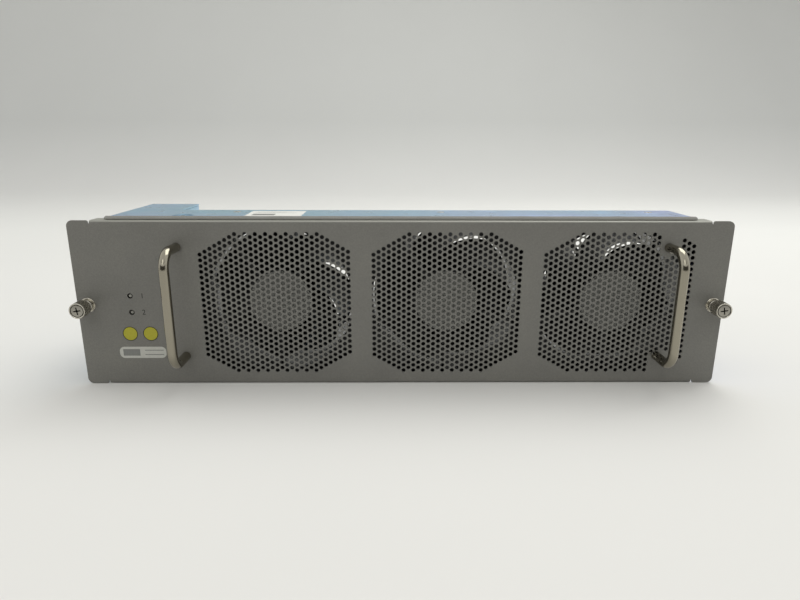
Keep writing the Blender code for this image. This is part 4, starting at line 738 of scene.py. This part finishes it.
def metal_finish(name, colour, low, high, scratch, scale):
    """Plated or bare turned metal: a colour, a range of gloss, and fine turning lines round Y."""
    made, look, shader, here = finish(name, {"Base Color": linear(colour), "Metallic": 1.0, "Roughness": low})
    marks = add(look, "ShaderNodeTexNoise", {"Vector": here, "Scale": scale, "Detail": 4.0})
    gloss = add(look, "ShaderNodeMapRange",
                {"Value": marks, "From Min": 0.3, "From Max": 0.7, "To Min": low, "To Max": high})
    lines = add(look, "ShaderNodeBump", {"Height": marks, "Strength": scratch, "Distance": 0.03 * MM})
    feed(shader, {"Roughness": gloss, "Normal": lines})
    return made


nickel_finish = metal_finish("satin nickel plate", "#C0BCB1", 0.16, 0.34, 0.12, 900.0)
screw_finish = metal_finish("dull plated screw steel", "#8F8C84", 0.34, 0.5, 0.2, 1400.0)
spring_finish = metal_finish("bright spring steel", "#C9C9C6", 0.18, 0.30, 0.08, 1500.0)

# Painted shade: the screw is pale at its head's face and nearly black from 0.15 mm behind it, so the cross
# recess reads dark.
look = screw_finish.node_tree
here = add(look, "ShaderNodeTexCoord").outputs["Object"]
depth = add(look, "ShaderNodeSeparateXYZ", {"Vector": here})
recess_shade_mask = add(look, "ShaderNodeMath", {0: depth.outputs["Y"], 1: STEM_LOW.y + KNOB_SETBACK - 0.05 * MM},
             operation="GREATER_THAN")
painted_recess_shade = ramp_between(look, recess_shade_mask, ((0.0, "#A5A299"), (1.0, "#2B2A27")))
look.links.new(painted_recess_shade.outputs["Color"], look.nodes["Principled BSDF"].inputs["Base Color"])


def cut_away(mesh, tool_bm, name):
    """Cuts one closed shape out of another and gives back the plain mesh."""
    tool = bpy.data.objects.new(name + "_tool", mesh_of(tool_bm, name + "_tool"))
    scene.collection.objects.link(tool)
    made = changed(mesh, name, [("BOOLEAN", {"operation": "DIFFERENCE", "solver": "EXACT", "object": tool})])
    bpy.data.objects.remove(tool)
    return made


def box_between(bm, low, high, matrix=Matrix.Identity(4)):
    """A box between two corners, turned or moved by a matrix."""
    made = bmesh.ops.create_cube(bm, size=1.0)["verts"]
    size = [top - bottom for bottom, top in zip(low, high)]
    middle = [(top + bottom) / 2 for bottom, top in zip(low, high)]
    bmesh.ops.transform(bm, matrix=matrix @ Matrix.Translation(middle) @ Matrix.Diagonal((*size, 1)),
                        verts=made)
    return made


def cross_tool(bm, centre, half_length, half_width, depth, turn=Matrix.Identity(4)):
    """The tapered cross of a driver bit as one closed shape, its open end up and its point at depth."""
    far, near = half_length, half_width
    cross = [(far, near), (near, near), (near, far), (-near, far), (-near, near), (-far, near),
             (-far, -near), (-near, -near), (-near, -far), (near, -far), (near, -near), (far, -near)]
    levels = []
    for up, scale in ((0.5 * MM, 1.0), (0.0, 1.0), (-depth, 0.5)):
        levels.append([bm.verts.new((x * scale, y * scale, up)) for x, y in cross])
    skin(bm, levels, capped=True)
    bmesh.ops.transform(bm, matrix=Matrix.Translation(centre) @ turn, verts=bm.verts)


def knurled(bm, segments, low, high, radius, cavity, floor, place):
    """A knob: fine straight teeth between two smooth chamfers, and a deep bore from behind."""
    depth = 0.28 * MM
    rows = [(4.7 * MM, low, 0), (radius - 0.35 * MM, low, 0), (radius - 0.1 * MM, low + 0.25 * MM, 0),
            (radius, low + 0.9 * MM, 0), (radius, low + 1.3 * MM, 1), (radius, high - 1.3 * MM, 1),
            (radius, high - 0.9 * MM, 0), (radius - 0.1 * MM, high - 0.25 * MM, 0),
            (radius - 0.4 * MM, high, 0),
            (cavity, high, 0), (cavity, floor, 0), (2.3 * MM, floor, 0), (2.3 * MM, low + 1.8 * MM, 0),
            (4.4 * MM, low + 1.8 * MM, 0), (4.4 * MM, low + 0.25 * MM, 0)]
    rings = []
    for row_radius, along, toothed in rows:
        circle = []
        for k in range(segments * 2):
            angle = pi * k / segments
            r = row_radius - (depth if toothed and k % 2 else 0.0)
            circle.append(bm.verts.new((place[0] + r * cos(angle), place[1] + along,
                                        place[2] + r * sin(angle))))
        rings.append(circle)
    skin(bm, rings + rings[:1])


# The spring: a coil of round wire, swept along a spiral.
tree, given, result = new_tree("coil spring", {
    "Turns": "NodeSocketFloat", "Coil Radius": "NodeSocketFloat", "Wire Radius": "NodeSocketFloat",
    "Length": "NodeSocketFloat", "Material": "NodeSocketMaterial"})
spiral = add(tree, "GeometryNodeCurveSpiral", {
    "Resolution": 40, "Rotations": given.outputs["Turns"], "Start Radius": given.outputs["Coil Radius"],
    "End Radius": given.outputs["Coil Radius"], "Height": given.outputs["Length"]})
wire = add(tree, "GeometryNodeCurvePrimitiveCircle",
           {"Resolution": 10, "Radius": given.outputs["Wire Radius"]})
swept = add(tree, "GeometryNodeCurveToMesh",
            {"Curve": spiral, "Profile Curve": wire.outputs["Curve"], "Fill Caps": True})
pass_on(tree, given, result, swept)
spring_tree = tree

for side, x in (("left", -CAPTIVE_X), ("right", CAPTIVE_X)):
    axis = Vector((x, FRONT, MIDDLE_Z))
    front = KNOB_LOW.y - FRONT + KNOB_SETBACK
    rim = KNOB_HIGH.y - FRONT
    bm = bmesh.new()
    knurled(bm, KNURL_COUNT, front, rim, KNOB_RADIUS, 4.5 * MM, front + 2.4 * MM, axis)
    put("thumb_knob_" + side, mesh_of(bm, "thumb_knob", 32), side + "_screw", nickel_finish,
        [side + "_screw_knob"])

    head = STEM_LOW.y - FRONT + KNOB_SETBACK - 0.2 * MM
    tip = STEM_HIGH.y - FRONT
    stem = [(0, head), (3.5 * MM, head), (3.9 * MM, head + 0.1 * MM), (4.2 * MM, head + 0.5 * MM),
            (4.2 * MM, head + 1.5 * MM), (2.0 * MM, head + 1.5 * MM), (2.0 * MM, tip - 0.8 * MM),
            (1.4 * MM, tip), (0, tip)]
    stem_mesh = turned("screw_stem", stem, axis, 40, None)
    bm = bmesh.new()
    cross_tool(bm, (x, FRONT + head, MIDDLE_Z), 2.5 * MM, 0.42 * MM, 2.2 * MM,
               Matrix.Rotation(pi / 2, 4, "X") @ Matrix.Rotation(radians(8), 4, "Z"))
    stem_mesh = cut_away(stem_mesh, bm, "screw_stem")
    smooth(stem_mesh, 35)
    put("screw_stem_" + side, stem_mesh, side + "_screw", screw_finish, [side + "_screw_stem"])

    nose = FERRULE_LOW.y - FRONT
    back = FERRULE_HIGH.y - FRONT
    ferrule = [(2.3 * MM, nose), (3.8 * MM, nose), (4.1 * MM, nose + 0.3 * MM), (4.1 * MM, -1.0 * MM),
               (4.75 * MM, -1.0 * MM), (5.0 * MM, -0.8 * MM), (5.0 * MM, -0.05 * MM),
               (4.1 * MM, -0.05 * MM), (4.1 * MM, back), (2.3 * MM, back)]
    put("ferrule_" + side, turned("ferrule", ferrule, axis, 48, 35, True), "tray", nickel_finish,
        [side + "_screw_ferrule"])

    near, far = WASHER_LOW.y - FRONT, WASHER_HIGH.y - FRONT
    washer = [(2.3 * MM, near), (4.1 * MM, near), (4.1 * MM, far), (2.3 * MM, far)]
    put("thrust_washer_" + side, turned("thrust_washer", washer, axis, 40, 35, True), side + "_screw_slide",
        spring_finish, [side + "_screw_washer"])

    start = WASHER_HIGH.y + 0.28 * MM
    end = FERRULE_LOW.y - 0.28 * MM
    seed = bpy.data.meshes.new("spring seed")
    coil = grow("screw_spring", seed, spring_tree,
                {"Turns": 5.0, "Coil Radius": 3.4 * MM, "Wire Radius": 0.25 * MM,
                 "Length": end - start, "Material": spring_finish})
    coil.transform(Matrix.Translation((x, start, MIDDLE_Z)) @ ALONG_Y)
    bm = bmesh.new()
    bm.from_mesh(coil)
    bmesh.ops.remove_doubles(bm, verts=bm.verts, dist=0.002 * MM)
    spring = put("screw_spring_" + side, mesh_of(bm, "screw_spring", 60), "tray", spring_finish,
                 [side + "_screw_spring"])
    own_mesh(spring)


# Zinc body: the floor with its side walls, the cover, the bay's bracket and partition, and the rear
# plate. All are 1 mm steel, punched, folded and plated in blue-bright zinc, with their burrs left soft.

COVER_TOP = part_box("top_cover")[1].z

# Blue zinc plate: a cool, satiny metal whose thin passivation drifts between sky blue and pale violet.
zinc_finish, look, shader, here = finish("blue zinc-plated steel", {"Metallic": 1.0, "Roughness": 0.3})
split = add(look, "ShaderNodeSeparateXYZ", {"Vector": here})
drift = add(look, "ShaderNodeTexNoise", {"Vector": here, "Scale": 9.0, "Detail": 3.0})
ends = add(look, "ShaderNodeMath", {0: split.outputs["X"], 1: -0.08}, operation="SUBTRACT")
ends = add(look, "ShaderNodeMath", {0: ends}, operation="ABSOLUTE")
ends = add(look, "ShaderNodeMapRange",
           {"Value": ends, "From Min": 0.03, "From Max": 0.32, "To Min": 0.0, "To Max": 0.45})
mixed = add(look, "ShaderNodeMath", {0: drift, 1: ends}, operation="ADD")
tone = ramp_between(look, mixed, ((0.35, "#A2CFE0"), (0.60, "#ACCEE8"), (0.95, "#BCC8F0")))
cloud = add(look, "ShaderNodeTexNoise", {"Vector": here, "Scale": 70.0, "Detail": 3.0})
stroke_place = add(look, "ShaderNodeMapping", {"Vector": here, "Scale": (90.0, 2200.0, 2200.0)})
stroke = add(look, "ShaderNodeTexNoise", {"Vector": stroke_place, "Scale": 1.0, "Detail": 2.0})
gloss = add(look, "ShaderNodeMapRange",
            {"Value": cloud, "From Min": 0.3, "From Max": 0.7, "To Min": 0.26, "To Max": 0.36})
grain = add(look, "ShaderNodeBump", {"Height": stroke, "Strength": 0.05, "Distance": 0.01 * MM})
feed(shader, {"Base Color": tone, "Roughness": gloss, "Normal": grain})


def softened_copy(node, name):
    """The shape of a folded sheet, its loose triangles joined up and its edges softened."""
    bm = bmesh.new()
    bm.from_mesh(nodes[node].data)
    bmesh.ops.remove_doubles(bm, verts=bm.verts, dist=0.002 * MM)
    bmesh.ops.dissolve_limit(bm, angle_limit=radians(1.0), verts=bm.verts, edges=bm.edges)
    return evenly_shaded(changed(mesh_of(bm, name), name, [softened(0.12 * MM)]), name, 50)


for node in ("tray_base", "top_cover", "bay_bracket", "bay_partition"):
    put(node + "_sheet", softened_copy(node, node + "_sheet"), "tray", zinc_finish, [node])

REAR_LOW, REAR_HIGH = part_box("rear_plate")
REAR_FOLD = 1.5 * MM
FAN_BORE = 51.0 * MM
FAN_SCREW_SPACING = 96.0 * MM
FAN_SCREW_HOLE_RADIUS = 2.1 * MM


def fan_screw_places(fan_x):
    """The four corners of a fan where a screw goes through."""
    half = FAN_SCREW_SPACING / 2
    return [(fan_x + a * half, MIDDLE_Z + b * half) for a in (-1, 1) for b in (-1, 1)]


rear_outlines = [[(REAR_LOW.x, REAR_LOW.z + REAR_FOLD), (REAR_HIGH.x, REAR_LOW.z + REAR_FOLD),
                  (REAR_HIGH.x, REAR_HIGH.z - REAR_FOLD), (REAR_LOW.x, REAR_HIGH.z - REAR_FOLD)]]
for fan_x in FAN_X:
    rear_outlines.append(ring((fan_x, MIDDLE_Z), FAN_BORE, 112))
    rear_outlines += [ring(place, FAN_SCREW_HOLE_RADIUS, 16) for place in fan_screw_places(fan_x)]
bm = bmesh.new()
punched(bm, rear_outlines, lambda x, z: (x, REAR_HIGH.y, z))
for z, axis in ((REAR_HIGH.z - REAR_FOLD, (1, 0, 0)), (REAR_LOW.z + REAR_FOLD, (-1, 0, 0))):
    folded_back(bm, z, 0.3, REAR_HIGH.y - REAR_FOLD, axis, REAR_LOW.y - REAR_HIGH.y + REAR_FOLD)
put("rear_plate_sheet", thickened(bm, "rear_plate_sheet", SHEET, (0, 1, 0)), "tray", zinc_finish,
    ["rear_plate"])

# A blank paper label on the cover, with a few plain grey rules.
paper_label = print_finish("uncoated label paper", "#D9D9D4", 0.75)
for name, low, high, base, material in (
        ("cover_label", (-110.0, 25.2), (-70.5, 55.5), 0.0, paper_label),
        ("cover_label_rule_1", (-106.0, 49.0), (-84.0, 49.9), 0.08, grey_ink),
        ("cover_label_rule_2", (-106.0, 44.5), (-76.0, 45.3), 0.08, grey_ink),
        ("cover_label_rule_3", (-106.0, 31.0), (-90.0, 39.0), 0.08, grey_ink)):
    bm = bmesh.new()
    top = COVER_TOP + (0.10 * MM if base else 0.08 * MM)
    left, right, near, far = low[0] * MM, high[0] * MM, low[1] * MM, high[1] * MM
    punched(bm, [[(left, near), (right, near), (right, far), (left, far)]],
            lambda x, y: (x, FRONT + y, top))
    put(name, thickened(bm, name, 0.07 * MM if not base else 0.03 * MM, (0, 0, 1)), "tray", material)


# Machine screws: countersunk along the cover's rear edge, one pan head in the dished seat, and four pan
# heads at the back of each fan. All are nickel-plated steel with cross recesses.

tree, given, result = new_tree("screws on points",
                               {"Screw": "NodeSocketObject", "Material": "NodeSocketMaterial"})
model = add(tree, "GeometryNodeObjectInfo", {"Object": given.outputs["Screw"]})
planted = add(tree, "GeometryNodeInstanceOnPoints",
              {"Points": given.outputs["Geometry"], "Instance": model.outputs["Geometry"]})
turns = add(tree, "FunctionNodeRandomValue", {"Seed": 7}, data_type="FLOAT")
turns.inputs[3].default_value = 2 * pi
about = add(tree, "ShaderNodeCombineXYZ", {"Z": turns.outputs[1]})
spun = add(tree, "GeometryNodeRotateInstances", {"Instances": planted, "Rotation": about})
pass_on(tree, given, result, spun)
screw_tree = tree


def screw_model(profile, head_top, cross_half, cross_depth):
    """One screw, head up, with its cross cut in, as an object for the tree to copy."""
    body = turned("screw_model", profile, (0, 0, 0), 28, None, turn=Matrix.Identity(4))
    bm = bmesh.new()
    cross_tool(bm, (0, 0, head_top), cross_half, cross_half * 0.24, cross_depth)
    made = cut_away(body, bm, "screw_model")
    smooth(made, 35)
    return bpy.data.objects.new("screw_model", made)


def planted_screws(name, model, points, matrix):
    """Copies of a screw at flat points, then stood in place by a matrix."""
    seeds = bpy.data.meshes.new(name)
    seeds.from_pydata(points, [], [])
    made = grow(name, seeds, screw_tree, {"Screw": model, "Material": nickel_finish})
    made.transform(matrix)
    return made


sunk_profile = [(0, 0), (2.7 * MM, 0), (2.85 * MM, -0.12 * MM), (1.5 * MM, -1.45 * MM), (1.5 * MM, -3.0 * MM),
                (0, -3.0 * MM)]
sunk = screw_model(sunk_profile, 0.0, 1.55 * MM, 0.9 * MM)
for number in (1, 2, 3):
    low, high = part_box("cover_screw_%d" % number)
    mesh = planted_screws("cover_screw", sunk, [((low.x + high.x) / 2, (low.y + high.y) / 2, 0)],
                          Matrix.Translation((0, 0, high.z)))
    put("sunk_screw_%d" % number, mesh, "tray", nickel_finish, ["cover_screw_%d" % number])
DISH_LOW, DISH_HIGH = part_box("dish_screw")
pan_profile = [(0, 1.6 * MM), (0.9 * MM, 1.58 * MM), (1.7 * MM, 1.42 * MM), (2.4 * MM, 1.0 * MM),
               (2.8 * MM, 0.4 * MM), (2.9 * MM, 0), (1.5 * MM, 0), (1.5 * MM, -7.0 * MM), (0, -7.0 * MM)]
pan = screw_model(pan_profile, 1.6 * MM, 1.5 * MM, 1.0 * MM)
mesh = planted_screws("dish_screw", pan,
                      [((DISH_LOW.x + DISH_HIGH.x) / 2, (DISH_LOW.y + DISH_HIGH.y) / 2, 0)],
                      Matrix.Translation((0, 0, DISH_HIGH.z - 1.6 * MM)))
put("pan_screw_in_dish", mesh, "tray", nickel_finish, ["dish_screw"])
points = [(x, -z, 0) for fan_x in FAN_X for x, z in fan_screw_places(fan_x)]
mesh = planted_screws("fan_screws", pan, points,
                      Matrix.Translation((0, REAR_HIGH.y + 0.05 * MM, 0)) @ ALONG_Y)
put("fan_screws", mesh, "tray", nickel_finish)


# Fans: three 108 mm axial fans. Each has a moulded housing with a flange at both ends, a motor mount on
# five struts with a plain film label, and a seven-bladed impeller whose blades sweep and twist.

FAN_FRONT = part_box("fan_1_frame")[0].y
FAN_DEPTH = 51.0 * MM
FAN_SIZE = 108.0 * MM
FLANGE = 4.0 * MM
STRUT_COUNT = 5
REST_TURNS = (radians(36.5), radians(44.5), radians(3.2))
HUB_RADIUS = 21.0 * MM
HUB_WALL = 1.8 * MM
HUB_LABEL_RADIUS = 21.4 * MM
HUB_LABEL_SHIFT = (0.9 * MM, -0.6 * MM)
BLADE_COUNT = 7
BLADE_TIP = 49.4 * MM
BLADE_FRONT, BLADE_REAR = 16.0 * MM, 41.0 * MM
ROOT_WRAP, TIP_WRAP = 29.4 * MM, 46.4 * MM
CAMBER = 0.25
SWEEP = radians(55.3)
SWEEP_POWER = 1.31
BLADE_THICKNESS = 1.7 * MM

# Glass-filled black plastic: moulded with a light spark texture, so it is black with a soft sheen.
plastic_finish, look, shader, here = finish("moulded black plastic", {"Roughness": 0.35, "IOR": 1.5})
spark = add(look, "ShaderNodeTexNoise", {"Vector": here, "Scale": 600.0, "Detail": 3.0})
tone = ramp_between(look, spark, ((0.3, "#0E0E10"), (0.7, "#18181A")))
gloss = add(look, "ShaderNodeMapRange", {"Value": spark, "To Min": 0.28, "To Max": 0.45})
pits = add(look, "ShaderNodeBump", {"Height": spark, "Strength": 0.1, "Distance": 0.03 * MM})
feed(shader, {"Base Color": tone, "Roughness": gloss, "Normal": pits})

# Silvered film on the motor: a dull pale grey, faintly wrinkled.
hub_film = print_finish("silvered polyester film", "#9A9A96", 0.45)


def blade_point(share, along):
    """A place on a blade's middle surface: share runs from root to tip, along from front to rear."""
    root = HUB_RADIUS - 0.8 * MM
    radius = root + (BLADE_TIP - root) * share
    wrap = (ROOT_WRAP + (TIP_WRAP - ROOT_WRAP) * share) / radius
    angle = -wrap * (along + CAMBER * along * (1 - along)) - SWEEP * max(share, 0.0) ** SWEEP_POWER
    return Vector((radius * cos(angle), BLADE_FRONT + (BLADE_REAR - BLADE_FRONT) * along,
                   radius * sin(angle)))


def add_blade(bm, turn):
    """One blade as a closed skin: thick in the middle, fine at its edges."""
    spans, chords = 9, 12
    loops = []
    for span in range(spans + 1):
        share = span / spans
        upper, lower = [], []
        for chord in range(chords + 1):
            along = chord / chords
            point = blade_point(share, along)
            a_side = blade_point(share, min(along + 0.01, 1.01)) - blade_point(share, along - 0.01)
            b_side = blade_point(share + 0.01, along) - blade_point(share - 0.01, along)
            normal = a_side.cross(b_side).normalized()
            half = BLADE_THICKNESS * (0.22 + 0.30 * sqrt(max(4 * along * (1 - along), 0.0)))
            upper.append(point + normal * half)
            lower.append(point - normal * half)
        loops.append([bm.verts.new(turn @ place) for place in upper + lower[::-1]])
    skin(bm, loops)
    for loop in (loops[0], loops[-1]):
        count = len(loop)
        for k in range(count // 2 - 1):
            bm.faces.new((loop[k], loop[k + 1], loop[count - 2 - k], loop[count - 1 - k]))


hub = [(HUB_RADIUS - HUB_WALL, 8.0 * MM), (HUB_RADIUS - 0.3 * MM, 8.0 * MM), (HUB_RADIUS, 8.3 * MM),
       (HUB_RADIUS, 42.0 * MM)]
hub += [(HUB_RADIUS - 3.0 * MM * (1 - cos(pi / 2 * k / 6)), 42.0 * MM + 3.0 * MM * sin(pi / 2 * k / 6))
        for k in range(1, 7)]
hub += [(12.0 * MM, 45.0 * MM), (11.6 * MM, 44.5 * MM), (9.4 * MM, 44.5 * MM), (9.0 * MM, 45.0 * MM),
        (0.0, 45.0 * MM)]
hub_inner = [(0.0, 43.2 * MM), (HUB_RADIUS - HUB_WALL, 43.2 * MM)]

for number, fan_x in enumerate(FAN_X, 1):
    place = Vector((fan_x, FAN_FRONT, MIDDLE_Z))
    prefix = "fan_%d_" % number
    square = pill((fan_x, MIDDLE_Z), (FAN_SIZE, FAN_SIZE), 5.0 * MM, 6)
    bm = bmesh.new()
    for start in (0.0, FAN_DEPTH - FLANGE):
        face = bmesh.new()
        holes_here = [ring((fan_x, MIDDLE_Z), FAN_BORE, 96)]
        holes_here += [ring(corner, FAN_SCREW_HOLE_RADIUS, 16) for corner in fan_screw_places(fan_x)]
        punched(face, [square, *holes_here], lambda x, z: (x, FAN_FRONT + start, z))
        bm.from_mesh(thickened(face, "flange", FLANGE, (0, -1, 0)))
    lathe(bm, [(FAN_BORE, 3.5 * MM), (FAN_BORE + 2.0 * MM, 3.5 * MM),
               (FAN_BORE + 2.0 * MM, FAN_DEPTH - 3.5 * MM), (FAN_BORE, FAN_DEPTH - 3.5 * MM)],
          place, ALONG_Y, 96, True)
    put(prefix + "housing", mesh_of(bm, "housing", 30), "tray", plastic_finish,
        [prefix + "frame"])

    bm = bmesh.new()
    lathe(bm, [(0, 0.8 * MM), (22.2 * MM, 0.8 * MM), (22.6 * MM, 1.3 * MM), (22.6 * MM, 6.8 * MM),
               (19.5 * MM, 6.8 * MM), (19.5 * MM, 2.8 * MM), (5.5 * MM, 2.8 * MM), (5.5 * MM, 34.0 * MM),
               (4.3 * MM, 34.0 * MM), (4.3 * MM, 2.8 * MM), (0, 2.8 * MM)], place, ALONG_Y, 64)
    for strut in range(STRUT_COUNT):
        turn = Matrix.Translation(place) @ Matrix.Rotation(2 * pi * strut / STRUT_COUNT + radians(18), 4, "Y")
        box_between(bm, (20.0 * MM, 1.1 * MM, -1.3 * MM), (50.7 * MM, 6.1 * MM, 1.3 * MM), turn)
    put(prefix + "motor_carrier", mesh_of(bm, "motor_carrier", 35), "tray", plastic_finish,
        [prefix + "motor_mount"])
    bm = bmesh.new()
    centre = (fan_x + HUB_LABEL_SHIFT[0], MIDDLE_Z + HUB_LABEL_SHIFT[1])
    punched(bm, [ring(centre, HUB_LABEL_RADIUS, 72)], lambda x, z: (x, FAN_FRONT + 0.55 * MM, z))
    put(prefix + "hub_label", thickened(bm, "hub_label", 0.2 * MM, (0, -1, 0)), "tray", hub_film)

    rest = Matrix.Translation(place) @ Matrix.Rotation(REST_TURNS[number - 1], 4, "Y")
    bm = bmesh.new()
    lathe(bm, hub + hub_inner, (0, 0, 0), ALONG_Y, 72, True)
    bmesh.ops.transform(bm, matrix=rest, verts=bm.verts)
    for blade in range(BLADE_COUNT):
        add_blade(bm, rest @ Matrix.Rotation(2 * pi * blade / BLADE_COUNT, 4, "Y"))
    put(prefix + "swept_impeller", mesh_of(bm, "swept_impeller", 35), prefix + "rotor", plastic_finish,
        [prefix + "impeller"])


# Fan leads: three sleeved leads that run along the floor in front of the fans and up to the board. They
# are fixed inside the tray, so they keep the route of their solids.

# Matt heat-shrink sleeve over the wires.
sleeve_finish = print_finish("heat-shrink sleeve", "#1B1B1C", 0.6)
for number in (1, 2, 3):
    nodes["fan_%d_lead" % number].data.materials.clear()
    nodes["fan_%d_lead" % number].data.materials.append(sleeve_finish)


# Rear connector and electronics: a blind-mate housing in the bay's window, with two rows of gold pins, on
# a green board that stands on the side wall. Only the connector shows from outside.

HOUSING_LOW, HOUSING_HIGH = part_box("connector_housing")
connector_finish = print_finish("glass-filled connector plastic", "#2A2B2E", 0.5)
bm = bmesh.new()
box_between(bm, HOUSING_LOW, HOUSING_HIGH)
body = mesh_of(bm, "housing")
bm = bmesh.new()
wall = 2.2 * MM
box_between(bm, (HOUSING_LOW.x + wall, HOUSING_HIGH.y - 8.0 * MM, HOUSING_LOW.z + wall),
            (HOUSING_HIGH.x - wall, HOUSING_HIGH.y + 1.0 * MM, HOUSING_HIGH.z - wall))
body = cut_away(body, bm, "housing")
mesh = changed(body, "housing", [softened(0.4 * MM, 3, 30)])
smooth(mesh, 35)
put("blind_mate_housing", mesh, "tray", connector_finish, ["connector_housing"])

tree, given, result = new_tree("pin rows", {
    "Rows": "NodeSocketInt", "Pins in Row": "NodeSocketInt", "Row Spacing": "NodeSocketFloat",
    "Pin Pitch": "NodeSocketFloat", "Pin Width": "NodeSocketFloat", "Pin Length": "NodeSocketFloat",
    "Material": "NodeSocketMaterial"})
width = add(tree, "ShaderNodeMath", {0: given.outputs["Rows"], 1: 1.0}, operation="SUBTRACT")
width = add(tree, "ShaderNodeMath", {0: width, 1: given.outputs["Row Spacing"]}, operation="MULTIPLY")
height = add(tree, "ShaderNodeMath", {0: given.outputs["Pins in Row"], 1: 1.0}, operation="SUBTRACT")
height = add(tree, "ShaderNodeMath", {0: height, 1: given.outputs["Pin Pitch"]}, operation="MULTIPLY")
grid = add(tree, "GeometryNodeMeshGrid", {"Size X": width, "Size Y": height,
                                          "Vertices X": given.outputs["Rows"],
                                          "Vertices Y": given.outputs["Pins in Row"]})
size = add(tree, "ShaderNodeCombineXYZ", {"X": given.outputs["Pin Width"], "Y": given.outputs["Pin Width"],
                                          "Z": given.outputs["Pin Length"]})
pin = add(tree, "GeometryNodeMeshCube", {"Size": size})
pins = add(tree, "GeometryNodeInstanceOnPoints",
           {"Points": grid.outputs["Mesh"], "Instance": pin.outputs["Mesh"]})
pass_on(tree, given, result, pins)
gold_finish = metal_finish("gold flash on brass", "#D9B25A", 0.2, 0.35, 0.05, 1200.0)
mesh = grow("connector_pins", bpy.data.meshes.new("pin seed"), tree, {
    "Rows": 2, "Pins in Row": 16, "Row Spacing": 4.2 * MM, "Pin Pitch": 2.4 * MM,
    "Pin Width": 0.7 * MM, "Pin Length": 6.0 * MM, "Material": gold_finish})
middle = (HOUSING_LOW + HOUSING_HIGH) / 2
mesh.transform(Matrix.Translation((middle.x, HOUSING_HIGH.y - 5.0 * MM, middle.z)) @ ALONG_Y)
put("connector_pins", mesh, "tray", gold_finish)

# Green solder mask over copper, glossy, with the tracks just showing.
board_finish, look, shader, here = finish("green solder mask on glass epoxy",
                                          {"Roughness": 0.3, "Coat Weight": 0.3})
tracks = add(look, "ShaderNodeTexVoronoi", {"Vector": here, "Scale": 180.0}, distance="MANHATTAN")
tone = ramp_between(look, tracks.outputs["Distance"], ((0.35, "#0F5A2E"), (0.45, "#0B4423")))
feed(shader, {"Base Color": tone})

# Motor steel: pressed electrical laminations, dull grey with fine stacking lines.
lamination_finish, look, shader, here = finish("stacked electrical steel",
                                               {"Metallic": 1.0, "Roughness": 0.45})
layers = add(look, "ShaderNodeTexWave", {"Vector": here, "Scale": 600.0}, bands_direction="Y")
tone = ramp_between(look, layers.outputs["Fac"], ((0.2, "#8A857D"), (0.8, "#B0ABA2")))
feed(shader, {"Base Color": tone})

carried = {"controller_board": board_finish, "fan_header": connector_finish, "lamp_block": connector_finish,
           "board_standoff_lower": nickel_finish, "board_standoff_upper": nickel_finish}
for number in (1, 2, 3):
    carried["fan_%d_stator" % number] = lamination_finish
    for part in ("shaft", "front_bearing", "rear_bearing"):
        carried["fan_%d_%s" % (number, part)] = spring_finish
for side in ("left", "right"):
    for end in ("lower", "upper"):
        carried["handle_%s_screw_%s" % (side, end)] = nickel_finish
for node, material in carried.items():
    nodes[node].data.materials.clear()
    nodes[node].data.materials.append(material)
